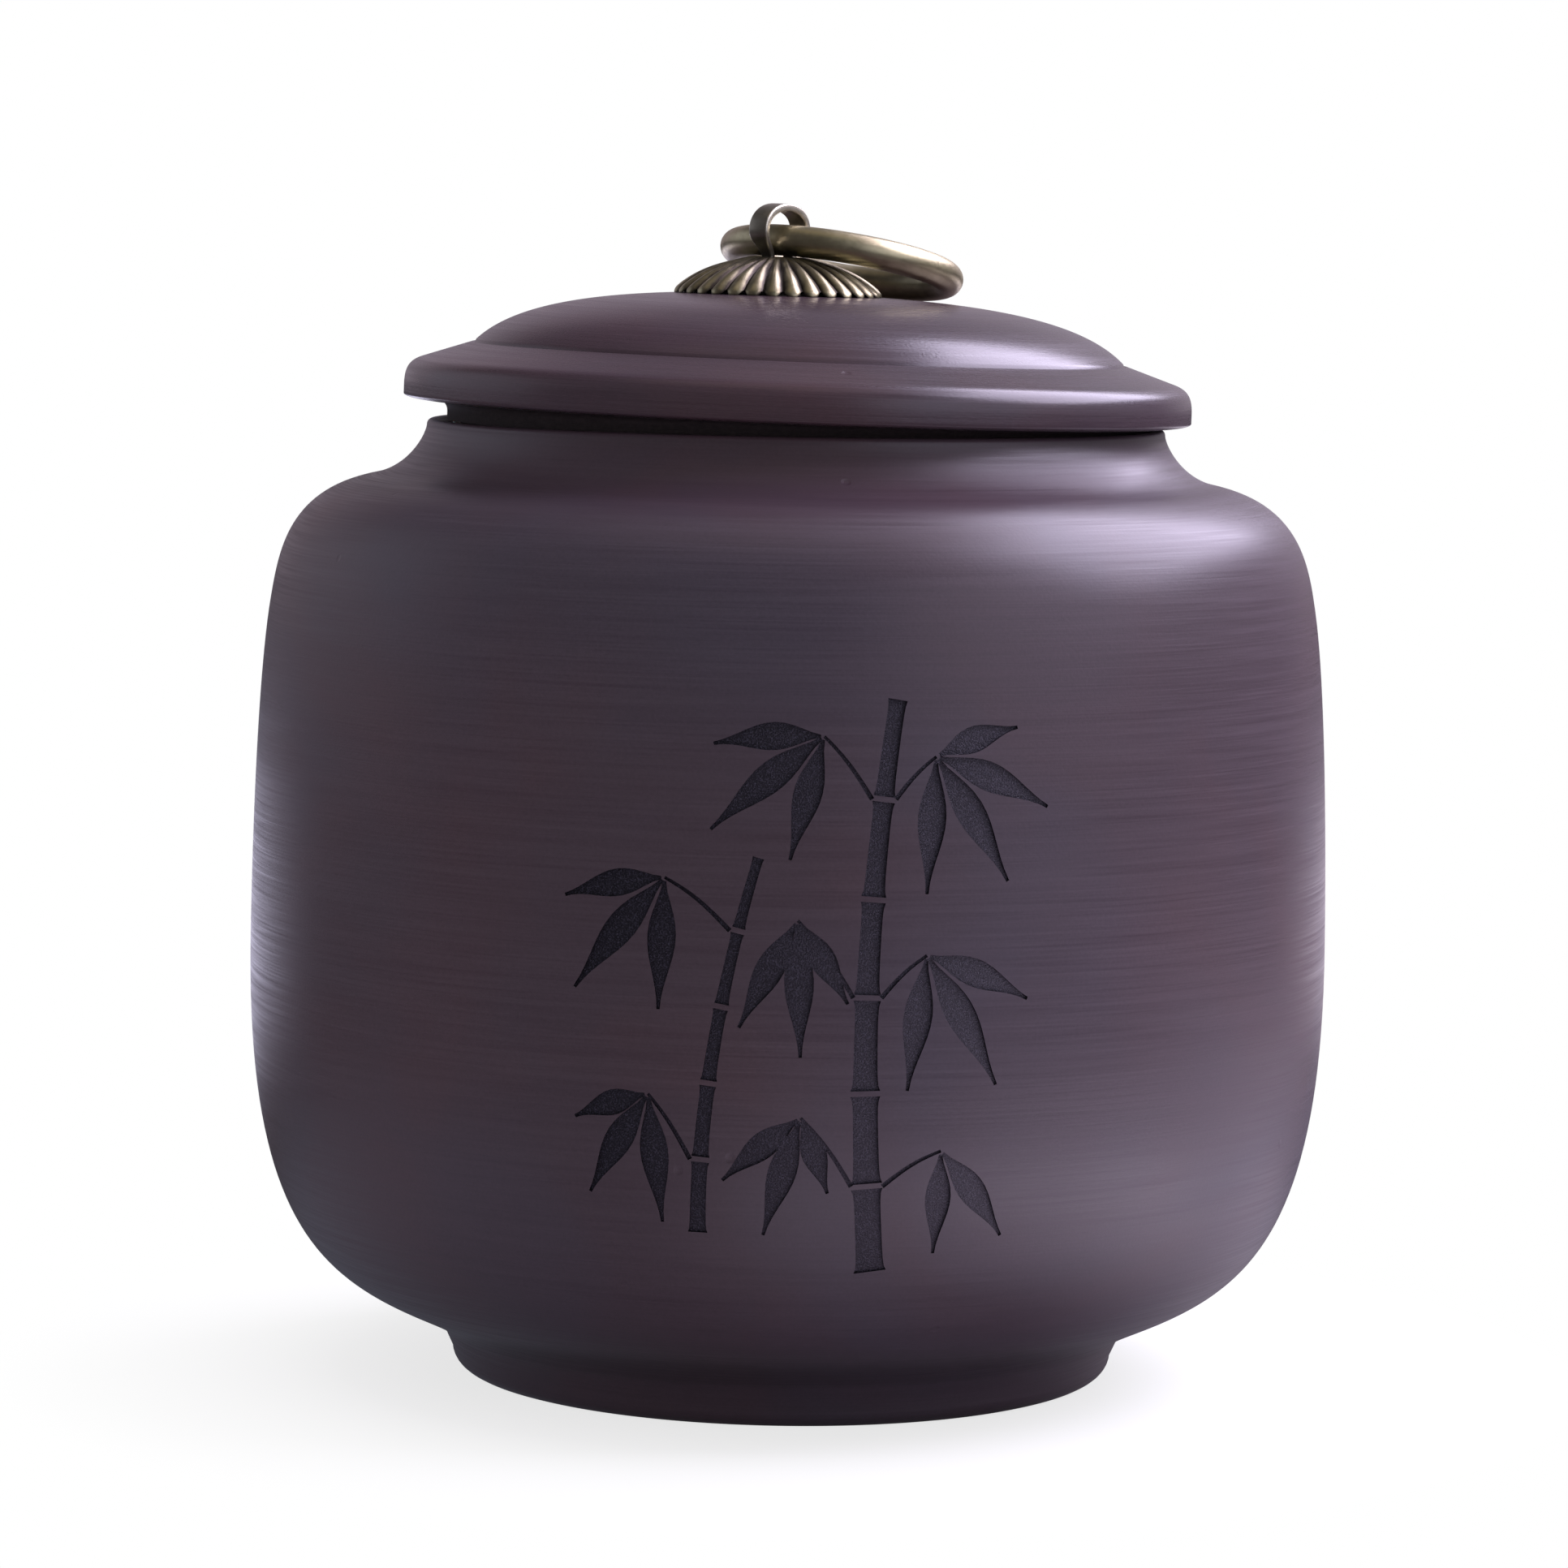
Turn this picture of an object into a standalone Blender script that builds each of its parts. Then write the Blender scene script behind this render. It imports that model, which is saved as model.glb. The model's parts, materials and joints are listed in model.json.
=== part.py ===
"""A stoneware tea caddy: a round jar with a plug lid, a lip seal and a brass ring pull.

The jar stands on a foot ring. The lid's spigot goes down into the mouth and carries a
silicone seal. A brass strip, folded into a loop, comes up through the lid and through a
fluted rosette, is bent open over a washer under the lid, and holds the pull ring.

Metres, +Z up, the origin on the ground at the middle of the foot ring, the front at -Y.
Outlines are lists of (radius, height), and they run so that the solid lies on their left.
"""
import math

import bmesh
import bpy
from mathutils import Matrix, Vector

# Gaps
TOUCH_GAP = 0.0003  # between pieces that rest on each other
TINY = 0.000001  # how close two points are to count as one

# Jar
BODY_RADIUS = 0.0590
JAR_HEIGHT = 0.1042
JAR_WALL = 0.0045
WIDEST_HEIGHT_SHARE = 0.4388  # of the jar's height
SHOULDER_RADIUS_SHARE = 0.967  # of the body's radius
SHOULDER_DROP = 0.0194  # from the rim down to where the shoulder starts to turn in
NECK_HEIGHT = 0.0062  # from the neck's root up to the rim
NECK_FLARE = 0.0060  # how far the neck's root stands outside the rim
BELLY_ANGLE = math.radians(40.0)
SHOULDER_ANGLE = math.radians(99.4)
NECK_ANGLE = math.radians(168.7)
BELLY_SHARES = (0.20, 0.84)
FLANK_SHARES = (0.136, 0.254)
SHOULDER_SHARES = (0.28, 0.54)
NECK_SHARES = (0.54, 0.10)
FLOOR_EASE = 0.0060  # width of the rounding between the floor and the wall inside
FLOOR_DIP = 0.0012  # height of that rounding
ARC_SHARES = (0.39, 0.39)  # of a quarter circle's chord

RIM_RADIUS = 0.0403
RIM_WALL = 0.0015
RIM_EDGE = 0.0006  # radius of the rim's two edges
MOUTH_DEPTH = 0.0067  # the straight bore of the mouth, from the rim down

FOOT_RADIUS = 0.0375  # at the crease under the belly
FOOT_HEIGHT = 0.0046
FOOT_TAPER = 0.0011  # how much the foot narrows from the crease to its edge
FOOT_EDGE = 0.0022  # radius of the foot's outer edge
FOOT_WIDTH = 0.0050  # of the flat that the jar stands on, with its inner edge
FOOT_RECESS = 0.0030

# Lid, with heights from the lower corner of its flange
LID_TILT = math.radians(1.35)  # the lid is pushed home further on the right
LID_OVERHANG = 0.0027  # how far the flange stands out past the rim
FLANGE_SIDE = 0.0009  # height of the flange's upright side
FLANGE_SHOULDER = 0.00405  # height where the slope begins
FLANGE_ROUNDING = 0.0019  # how far in the slope begins
FLANGE_DROP = 0.0005  # from the corner down to the flat underside
FLANGE_UNDERCUT = 0.0026  # how far in the flat underside begins
SLOPE_WIDTH = 0.0075  # from the flange's side in to the crease
CREASE_HEIGHT = 0.00595
LID_HEIGHT = 0.0124
DOME_ANGLE = math.radians(-46.0)
DOME_SHARES = (0.53, 0.19)
FLANGE_TOP_SHARES = (0.50, 0.42)
UNDERSIDE_SHARES = (0.30, 0.15)
LID_WALL = 0.0045
CEILING_FLAT = 0.0125  # radius of the flat middle of the lid's hollow
CEILING_SHARES = (0.45, 0.35)

SPIGOT_GAP = 0.0006  # between the spigot and the mouth, all round
SPIGOT_FILLET = 0.0013  # radius of the hollow corner between the spigot and the flange
SPIGOT_DEPTH = 0.0100  # below the flange's underside
SPIGOT_WALL = 0.0044
SPIGOT_EDGE = 0.0008

# Seal
SEAL_HEIGHT = 0.0044
SEAL_TOP = 0.0024  # below the flange's underside
SEAL_SEAT = 0.0015  # depth of the groove that holds the seal
LIP_COUNT = 2
LIP_GAP = 0.0003  # between one lip and the next
LIP_ROOT_SHARE = 0.35  # of the seal's thickness, where the lips begin
LIP_SHARE = 0.42  # of each lip's pitch, taken by the lip's edge

# Split pin: a strip folded into a loop, with its two narrower legs bent open under the lid
STRIP_WIDTH = 0.0024
STRIP_THICKNESS = 0.00095
LEG_WIDTH = 0.0014
LEG_SPREAD = 0.0040  # between the legs' middles
LOOP_WIDTH = 0.0073  # between the middles of the loop's sides
LOOP_HEIGHT = 0.0055  # from the rosette's top to the middle of the strip over it
LOOP_WIDEST_SHARE = 0.54  # of the loop's height
LOOP_ANGLE = math.radians(66.0)
LOOP_SHARES = (0.35, 0.35)
TAB_LENGTH = 0.0048  # of each leg's bent end
TAB_BEND = 0.0010  # radius of the bend, in the middle of the strip
PIN_OFFSET = 0.0025  # from the lid's axis, to the left
PIN_TURN = math.radians(36.5)  # how far the loop is turned about the pin's axis
PIN_FIT = 0.0003  # between the legs and the holes that they pass through

WASHER_WIDTH = 0.0032
WASHER_THICKNESS = 0.0008

# Rosette
ROSETTE_RADIUS = 0.0113
ROSETTE_HEIGHT = 0.0037
ROSETTE_SHEET = 0.0005
ROSETTE_TOP_ANGLE = math.radians(-12.0)
ROSETTE_RIM_ANGLE = math.radians(-50.0)
ROSETTE_SHARES = (0.40, 0.30)
PETALS = 32
PETAL_DEPTH = 0.00035  # of the grooves between the petals
PETAL_SCALLOP = 0.00045  # how far the rim draws in between two tips
PETAL_START_SHARE = 0.30  # of the radius, where the grooves begin

# Pull ring
RING_RADIUS = 0.0119  # of the middle of its wire
WIRE_RADIUS = 0.0017

# Facets
JAR_SEGMENTS = 64
SMALL_SEGMENTS = 32
PETAL_SEGMENTS = 4
RING_SEGMENTS = 56
WIRE_SEGMENTS = 14
SMOOTH_ANGLE = math.radians(35.0)

# Worked out from the sizes above
MOUTH_RADIUS = RIM_RADIUS - RIM_WALL
LID_RADIUS = RIM_RADIUS + LID_OVERHANG
CREASE_RADIUS = LID_RADIUS - SLOPE_WIDTH
SPIGOT_RADIUS = MOUTH_RADIUS - SPIGOT_GAP
GROOVE_RADIUS = SPIGOT_RADIUS - SEAL_SEAT
UNDERSIDE = -FLANGE_DROP
SEAL_TOP_HEIGHT = UNDERSIDE - SEAL_TOP
SEAL_MIDDLE = SEAL_TOP_HEIGHT - SEAL_HEIGHT / 2
CEILING = LID_HEIGHT - LID_WALL
CONTACT_RADIUS = RIM_RADIUS - RIM_EDGE
LID_Z = JAR_HEIGHT + TOUCH_GAP + CONTACT_RADIUS * math.sin(LID_TILT) + FLANGE_DROP
LID_X = -SEAL_MIDDLE * math.sin(LID_TILT)
LEG_CORNER = math.hypot((LEG_SPREAD + STRIP_THICKNESS) / 2, LEG_WIDTH / 2)
PIN_HOLE_RADIUS = LEG_CORNER + PIN_FIT
WASHER_TOP = CEILING - TOUCH_GAP
TAB_HEIGHT = WASHER_TOP - WASHER_THICKNESS - TOUCH_GAP - STRIP_THICKNESS / 2


def curve(start, start_angle, end, end_angle, shares, steps):
    """Points of a smooth curve from start to end, both included.

    It leaves and arrives at the given angles, and each share is the length of one end's
    straight lead, as a share of the chord.
    """
    start, end = Vector(start), Vector(end)
    chord = (end - start).length
    lead = start + Vector((math.cos(start_angle), math.sin(start_angle))) * chord * shares[0]
    tail = end - Vector((math.cos(end_angle), math.sin(end_angle))) * chord * shares[1]
    points = []
    for step in range(steps + 1):
        t = step / steps
        u = 1 - t
        points.append(start * u**3 + lead * 3 * u * u * t + tail * 3 * u * t * t + end * t**3)
    return [tuple(point) for point in points]


def joined(*stretches):
    """One outline from several, with each shared point kept once."""
    outline = []
    for point in (point for stretch in stretches for point in stretch):
        if not outline or math.dist(point, outline[-1]) > TINY:
            outline.append(point)
    return outline


def height_at(outline, radius):
    """The height of an outline that runs outwards, at a radius."""
    for (r0, z0), (r1, z1) in zip(outline, outline[1:]):
        if r0 <= radius <= r1:
            return z0 + (z1 - z0) * (radius - r0) / (r1 - r0)
    return -math.inf


def material(name, colour, roughness, metallic=0.0):
    """A plain material of one colour."""
    made = bpy.data.materials.new(name)
    made.use_nodes = True
    shader = made.node_tree.nodes["Principled BSDF"]
    shader.inputs["Base Color"].default_value = (*colour, 1.0)
    shader.inputs["Roughness"].default_value = roughness
    shader.inputs["Metallic"].default_value = metallic
    return made


def add_object(name, mesh_builder, finish, parent=None, location=(0, 0, 0), rotation=(0, 0, 0)):
    """Turn a bmesh into a smooth-shaded object, and free the bmesh."""
    bmesh.ops.recalc_face_normals(mesh_builder, faces=mesh_builder.faces)
    mesh = bpy.data.meshes.new(name)
    mesh_builder.to_mesh(mesh)
    mesh_builder.free()
    mesh.materials.append(finish)
    mesh.shade_smooth()
    mesh.set_sharp_from_angle(angle=SMOOTH_ANGLE)
    made = bpy.data.objects.new(name, mesh)
    made.parent = parent
    made.location = location
    made.rotation_euler = rotation
    bpy.context.scene.collection.objects.link(made)
    return made


def add_empty(name, parent=None, location=(0, 0, 0), rotation=(0, 0, 0)):
    """An empty that carries a group of pieces."""
    made = bpy.data.objects.new(name, None)
    made.parent = parent
    made.location = location
    made.rotation_euler = rotation
    bpy.context.scene.collection.objects.link(made)
    return made


def turned(outline, segments):
    """A solid turned about Z from an outline that is closed, or that starts and ends on the axis."""
    builder = bmesh.new()
    corners = [builder.verts.new((radius, 0, height)) for radius, height in outline]
    pairs = list(zip(corners, corners[1:]))
    if outline[0][0] > TINY:
        pairs.append((corners[-1], corners[0]))
    edges = [builder.edges.new(pair) for pair in pairs]
    bmesh.ops.spin(
        builder, geom=corners + edges, axis=(0, 0, 1), cent=(0, 0, 0),
        steps=segments, angle=2 * math.pi, use_merge=True,
    )
    bmesh.ops.remove_doubles(builder, verts=builder.verts, dist=TINY)
    return builder


def jar_outline():
    """The jar's section, from the middle of its underside out, up, over the rim and down inside."""
    foot_edge_radius = FOOT_RADIUS - FOOT_TAPER
    foot_inner = foot_edge_radius - FOOT_EDGE - FOOT_WIDTH
    widest = (BODY_RADIUS, JAR_HEIGHT * WIDEST_HEIGHT_SHARE)
    shoulder = (BODY_RADIUS * SHOULDER_RADIUS_SHARE, JAR_HEIGHT - SHOULDER_DROP)
    root = (RIM_RADIUS + NECK_FLARE, JAR_HEIGHT - NECK_HEIGHT)
    crease = (FOOT_RADIUS, FOOT_HEIGHT)

    def inside(point, angle):
        return (point[0] - JAR_WALL * math.sin(angle), point[1] + JAR_WALL * math.cos(angle))

    inner_crease = inside(crease, BELLY_ANGLE)
    inner_widest = inside(widest, math.pi / 2)
    inner_shoulder = inside(shoulder, SHOULDER_ANGLE)
    inner_root = inside(root, NECK_ANGLE)
    floor_edge = (inner_crease[0] - FLOOR_EASE, inner_crease[1] - FLOOR_DIP)
    outer = joined(
        [(0, FOOT_RECESS), (foot_inner - FOOT_RECESS, FOOT_RECESS)],
        curve((foot_inner - FOOT_RECESS, FOOT_RECESS), 0, (foot_inner, 0), -math.pi / 3, ARC_SHARES, 3),
        curve((foot_edge_radius - FOOT_EDGE, 0), 0, (foot_edge_radius, FOOT_EDGE), math.pi / 2, ARC_SHARES, 4),
        curve(crease, BELLY_ANGLE, widest, math.pi / 2, BELLY_SHARES, 9),
        curve(widest, math.pi / 2, shoulder, SHOULDER_ANGLE, FLANK_SHARES, 4),
        curve(shoulder, SHOULDER_ANGLE, root, NECK_ANGLE, SHOULDER_SHARES, 7),
        curve(root, NECK_ANGLE, (RIM_RADIUS, JAR_HEIGHT - RIM_EDGE), math.pi / 2, NECK_SHARES, 5),
        curve((RIM_RADIUS, JAR_HEIGHT - RIM_EDGE), math.pi / 2,
              (RIM_RADIUS - RIM_EDGE, JAR_HEIGHT), math.pi, ARC_SHARES, 3),
    )
    inner = joined(
        curve((MOUTH_RADIUS + RIM_EDGE, JAR_HEIGHT), math.pi,
              (MOUTH_RADIUS, JAR_HEIGHT - RIM_EDGE), -math.pi / 2, ARC_SHARES, 3),
        curve((MOUTH_RADIUS, JAR_HEIGHT - MOUTH_DEPTH), -math.pi / 2,
              inner_root, NECK_ANGLE - math.pi, ARC_SHARES, 4),
        curve(inner_root, NECK_ANGLE - math.pi, inner_shoulder, SHOULDER_ANGLE - math.pi,
              SHOULDER_SHARES[::-1], 5),
        curve(inner_shoulder, SHOULDER_ANGLE - math.pi, inner_widest, -math.pi / 2, FLANK_SHARES[::-1], 3),
        curve(inner_widest, -math.pi / 2, inner_crease, BELLY_ANGLE - math.pi, BELLY_SHARES[::-1], 7),
        curve(inner_crease, BELLY_ANGLE - math.pi, floor_edge, -math.pi, ARC_SHARES, 3),
        [(0, floor_edge[1])],
    )
    return joined(outer, inner)


def dome_outline():
    """The lid's top, from its middle out to the crease."""
    return curve((0, LID_HEIGHT), 0, (CREASE_RADIUS, CREASE_HEIGHT), DOME_ANGLE, DOME_SHARES, 9)


def lid_outline():
    """The lid's section, from the middle of its hollow down, round the outside and back to the top."""
    slope_angle = math.atan2(
        CREASE_HEIGHT - FLANGE_SHOULDER, CREASE_RADIUS - (LID_RADIUS - FLANGE_ROUNDING))
    spigot_end = UNDERSIDE - SPIGOT_DEPTH
    spigot_inner = SPIGOT_RADIUS - SPIGOT_WALL
    groove_top = SEAL_TOP_HEIGHT + TOUCH_GAP
    groove_end = SEAL_TOP_HEIGHT - SEAL_HEIGHT - TOUCH_GAP
    return joined(
        [(0, CEILING)],
        curve((CEILING_FLAT, CEILING), 0, (spigot_inner, UNDERSIDE), -math.pi / 2, CEILING_SHARES, 5),
        curve((spigot_inner, spigot_end + SPIGOT_EDGE), -math.pi / 2,
              (spigot_inner + SPIGOT_EDGE, spigot_end), 0, ARC_SHARES, 3),
        curve((SPIGOT_RADIUS - SPIGOT_EDGE, spigot_end), 0,
              (SPIGOT_RADIUS, spigot_end + SPIGOT_EDGE), math.pi / 2, ARC_SHARES, 3),
        [(SPIGOT_RADIUS, groove_end), (GROOVE_RADIUS, groove_end),
         (GROOVE_RADIUS, groove_top), (SPIGOT_RADIUS, groove_top)],
        curve((SPIGOT_RADIUS, UNDERSIDE - SPIGOT_FILLET), math.pi / 2,
              (SPIGOT_RADIUS + SPIGOT_FILLET, UNDERSIDE), 0, ARC_SHARES, 4),
        curve((LID_RADIUS - FLANGE_UNDERCUT, UNDERSIDE), 0, (LID_RADIUS, 0), math.pi / 2, UNDERSIDE_SHARES, 4),
        curve((LID_RADIUS, FLANGE_SIDE), math.pi / 2, (LID_RADIUS - FLANGE_ROUNDING, FLANGE_SHOULDER),
              slope_angle, FLANGE_TOP_SHARES, 4),
        dome_outline()[::-1],
    )


def seal_outline():
    """The seal's section: a band with lips round its outside, which narrow towards the mouth's wall."""
    inner = GROOVE_RADIUS + TOUCH_GAP
    outer = MOUTH_RADIUS - TOUCH_GAP
    root = inner + (outer - inner) * LIP_ROOT_SHARE
    pitch = SEAL_HEIGHT / LIP_COUNT
    base = SEAL_TOP_HEIGHT - SEAL_HEIGHT
    outline = [(inner, base)]
    for lip in range(LIP_COUNT):
        low = base + lip * pitch
        edge = pitch * LIP_SHARE
        high = low + pitch - LIP_GAP
        outline += [(root, low), (outer, high - edge), (outer, high), (root, high)]
    outline += [(root, SEAL_TOP_HEIGHT), (inner, SEAL_TOP_HEIGHT)]
    return joined(outline)


def rosette_seat():
    """The lid's height under the sides of the rosette's rim that are nearest to its axis and furthest away."""
    dome = dome_outline()
    return height_at(dome, ROSETTE_RADIUS - PIN_OFFSET), height_at(dome, ROSETTE_RADIUS + PIN_OFFSET)


def pin_lean():
    """How far the pin leans outwards, so that the rosette sits flat on the dome beside its top."""
    near, far = rosette_seat()
    return math.atan2(near - far, 2 * ROSETTE_RADIUS)


def rosette_base():
    """The height of the rosette's rim along the pin: the middle of its seat on the dome, and the gap."""
    return sum(rosette_seat()) / 2 + TOUCH_GAP


def rosette_outline():
    """The rosette's top without its petals, from its hole out to its rim."""
    base = rosette_base()
    return curve((PIN_HOLE_RADIUS, base + ROSETTE_HEIGHT), ROSETTE_TOP_ANGLE,
                 (ROSETTE_RADIUS, base + ROSETTE_SHEET), ROSETTE_RIM_ANGLE, ROSETTE_SHARES, 6)


def rosette_mesh():
    """A thin domed shell with grooves from near its hole out to a scalloped rim, open underneath."""
    builder = bmesh.new()
    top = rosette_outline()
    low = [(radius, height - ROSETTE_SHEET) for radius, height in top]
    count = PETALS * PETAL_SEGMENTS

    def ring(radius, height, grooved):
        """One loop of points. A grooved loop sinks between the petals, and draws in at the rim."""
        reach = max(0.0, radius / ROSETTE_RADIUS - PETAL_START_SHARE) / (1 - PETAL_START_SHARE)
        corners = []
        for index in range(count):
            angle = 2 * math.pi * index / count
            groove = 1 - abs(math.sin(PETALS * angle / 2))
            inset = PETAL_SCALLOP * groove * reach**6
            sink = PETAL_DEPTH * groove * math.sqrt(reach) if grooved else 0.0
            corners.append(builder.verts.new((
                (radius - inset) * math.cos(angle), (radius - inset) * math.sin(angle), height - sink)))
        return corners

    rings = [ring(radius, height, True) for radius, height in top]
    rings += [ring(radius, height, False) for radius, height in low[::-1][::2]]
    for first, second in zip(rings, rings[1:] + rings[:1]):
        for index in range(count):
            after = (index + 1) % count
            builder.faces.new((first[index], first[after], second[after], second[index]))
    return builder


def loop_path(side):
    """One leg and half of the loop, from the bent tab up to the loop's top.

    Each point is (sideways, height, width of the strip). The strip widens from the waist,
    where it leaves the rosette, to the widest place of the loop.
    """
    leg = side * LEG_SPREAD / 2
    loop_base = rosette_base() + ROSETTE_HEIGHT
    waist = (leg, loop_base + STRIP_THICKNESS / 2)
    widest = (side * LOOP_WIDTH / 2, loop_base + LOOP_HEIGHT * LOOP_WIDEST_SHARE)
    top = (0, loop_base + LOOP_HEIGHT)
    out = 0 if side > 0 else math.pi
    lean = LOOP_ANGLE if side > 0 else math.pi - LOOP_ANGLE
    path = joined(
        [(leg + side * (TAB_BEND + TAB_LENGTH), TAB_HEIGHT)],
        curve((leg + side * TAB_BEND, TAB_HEIGHT), out + math.pi, (leg, TAB_HEIGHT + TAB_BEND),
              math.pi / 2, ARC_SHARES, 4),
        [(leg, CEILING), (leg, loop_base - STRIP_THICKNESS)],
        curve((leg, loop_base - STRIP_THICKNESS), math.pi / 2, waist, lean, ARC_SHARES, 2),
        curve(waist, lean, widest, math.pi / 2, LOOP_SHARES, 4),
        curve(widest, math.pi / 2, top, math.pi - out, ARC_SHARES, 7),
    )

    def width_at(height):
        rise = (height - waist[1]) / (widest[1] - waist[1])
        return LEG_WIDTH + (STRIP_WIDTH - LEG_WIDTH) * min(max(rise, 0), 1)

    return [(sideways, height, width_at(height)) for sideways, height in path]


def strip_mesh(path):
    """A flat strip that follows a path in the YZ plane, with its width along X."""
    builder = bmesh.new()
    rings = []
    for index, (side, height, width) in enumerate(path):
        before = Vector(path[max(index - 1, 0)][:2])
        after = Vector(path[min(index + 1, len(path) - 1)][:2])
        here = Vector((side, height))
        along = ((here - before).normalized() + (after - here).normalized()).normalized()
        turn = max((after - here).normalized().dot(along), (here - before).normalized().dot(along))
        across = Vector((-along.y, along.x)) * STRIP_THICKNESS / 2 / turn
        rings.append([
            builder.verts.new((end * width / 2, side + sign * across.x, height + sign * across.y))
            for end, sign in ((-1, -1), (1, -1), (1, 1), (-1, 1))
        ])
    for first, second in zip(rings, rings[1:]):
        for index in range(4):
            after = (index + 1) % 4
            builder.faces.new((first[index], first[after], second[after], second[index]))
    builder.faces.new(rings[0][::-1])
    builder.faces.new(rings[-1])
    return builder


def ring_mesh():
    """A closed wire ring in the XY plane, which passes through the origin and lies towards +Y."""
    outline = []
    for index in range(WIRE_SEGMENTS):
        angle = 2 * math.pi * index / WIRE_SEGMENTS
        outline.append((RING_RADIUS + WIRE_RADIUS * math.cos(angle), WIRE_RADIUS * math.sin(angle)))
    builder = turned(outline, RING_SEGMENTS)
    bmesh.ops.translate(builder, verts=builder.verts, vec=(0, RING_RADIUS, 0))
    return builder


def pivot_height():
    """The height of the wire's middle where the ring hangs in the loop, just clear of the rosette."""
    return rosette_base() + ROSETTE_HEIGHT + TOUCH_GAP + WIRE_RADIUS


def ring_clearance(droop, dome, rosette):
    """The least height of the ring over the lid and the rosette, with the ring drooping by an angle."""
    least = math.inf
    upright = Matrix.Rotation(-pin_lean(), 4, "Y")
    turn = Vector((math.cos(PIN_TURN), -math.sin(PIN_TURN), 0))
    away = Vector((math.sin(PIN_TURN), math.cos(PIN_TURN), 0)) * math.cos(droop) \
        - Vector((0, 0, 1)) * math.sin(droop)
    normal = turn.cross(away)
    pivot = Vector((0, 0, pivot_height()))
    for index in range(RING_SEGMENTS):
        angle = 2 * math.pi * index / RING_SEGMENTS
        radial = turn * math.sin(angle) - away * math.cos(angle)
        middle = pivot + away * RING_RADIUS + radial * RING_RADIUS
        for step in range(WIRE_SEGMENTS):
            around = 2 * math.pi * step / WIRE_SEGMENTS
            point = middle + (radial * math.cos(around) + normal * math.sin(around)) * WIRE_RADIUS
            over_lid = upright @ point
            least = min(
                least,
                over_lid.z - height_at(dome, math.hypot(over_lid.x - PIN_OFFSET, over_lid.y)),
                point.z - height_at(rosette, math.hypot(point.x, point.y)))
    return least


def ring_droop():
    """The angle below level at which the ring's far side comes down to rest on the lid."""
    dome, rosette = dome_outline(), rosette_outline()
    low, high = 0.0, math.pi / 4
    for _ in range(24):
        middle = (low + high) / 2
        if ring_clearance(middle, dome, rosette) > TOUCH_GAP:
            low = middle
        else:
            high = middle
    return low


def drill_lid(lid, seat_frame):
    """Cut the pin's hole through the lid."""
    builder = bmesh.new()
    bmesh.ops.create_cone(
        builder, cap_ends=True, segments=SMALL_SEGMENTS, radius1=PIN_HOLE_RADIUS, radius2=PIN_HOLE_RADIUS,
        depth=2 * LID_HEIGHT)
    cutter = add_object("pin_hole_cutter", builder, lid.data.materials[0], seat_frame, (0, 0, CEILING))
    cutter.hide_render = True
    cutter.display_type = "WIRE"
    hole = lid.modifiers.new("pin_hole", "BOOLEAN")
    hole.operation = "DIFFERENCE"
    hole.solver = "EXACT"
    hole.object = cutter


def main():
    """Clear the scene and build the caddy."""
    for old in list(bpy.data.objects):
        bpy.data.objects.remove(old, do_unlink=True)
    stoneware = material("stoneware", (0.045, 0.028, 0.034), 0.45)
    silicone = material("silicone", (0.55, 0.55, 0.53), 0.55)
    brass = material("antique_brass", (0.30, 0.25, 0.16), 0.35, 1.0)

    add_object("jar", turned(jar_outline(), JAR_SEGMENTS), stoneware)

    lid_frame = add_empty("lid_frame", location=(LID_X, 0, LID_Z), rotation=(0, LID_TILT, 0))
    lid = add_object("lid", turned(lid_outline(), JAR_SEGMENTS), stoneware, lid_frame)
    seat_frame = add_empty("seat_frame", lid_frame, (-PIN_OFFSET, 0, 0), (0, -pin_lean(), 0))
    drill_lid(lid, seat_frame)
    add_object("lid_seal", turned(seal_outline(), JAR_SEGMENTS), silicone, lid_frame)

    pin_frame = add_empty("pin_frame", seat_frame, rotation=(0, 0, -PIN_TURN))
    add_object("rosette", rosette_mesh(), brass, pin_frame)
    washer = [(PIN_HOLE_RADIUS, WASHER_TOP - WASHER_THICKNESS),
              (PIN_HOLE_RADIUS + WASHER_WIDTH, WASHER_TOP - WASHER_THICKNESS),
              (PIN_HOLE_RADIUS + WASHER_WIDTH, WASHER_TOP), (PIN_HOLE_RADIUS, WASHER_TOP)]
    add_object("pin_washer", turned(washer, SMALL_SEGMENTS), brass, pin_frame)
    add_object("split_pin", strip_mesh(joined(loop_path(-1), loop_path(1)[::-1])), brass, pin_frame)
    add_object("pull_ring", ring_mesh(), brass, pin_frame, (0, 0, pivot_height()), (-ring_droop(), 0, 0))


main()
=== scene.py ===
"""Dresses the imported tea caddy: its burnished clay, its engraved bamboo and its antiqued brass.

Everything is in metres in the part's own frame: +Z up, the front at -Y, the ground at z = 0.
"""

import json
import logging
import math
from dataclasses import dataclass
from enum import Enum
from typing import Any, Callable, Sequence

import bmesh
import bpy
import numpy as np
from mathutils import Matrix, Vector


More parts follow.
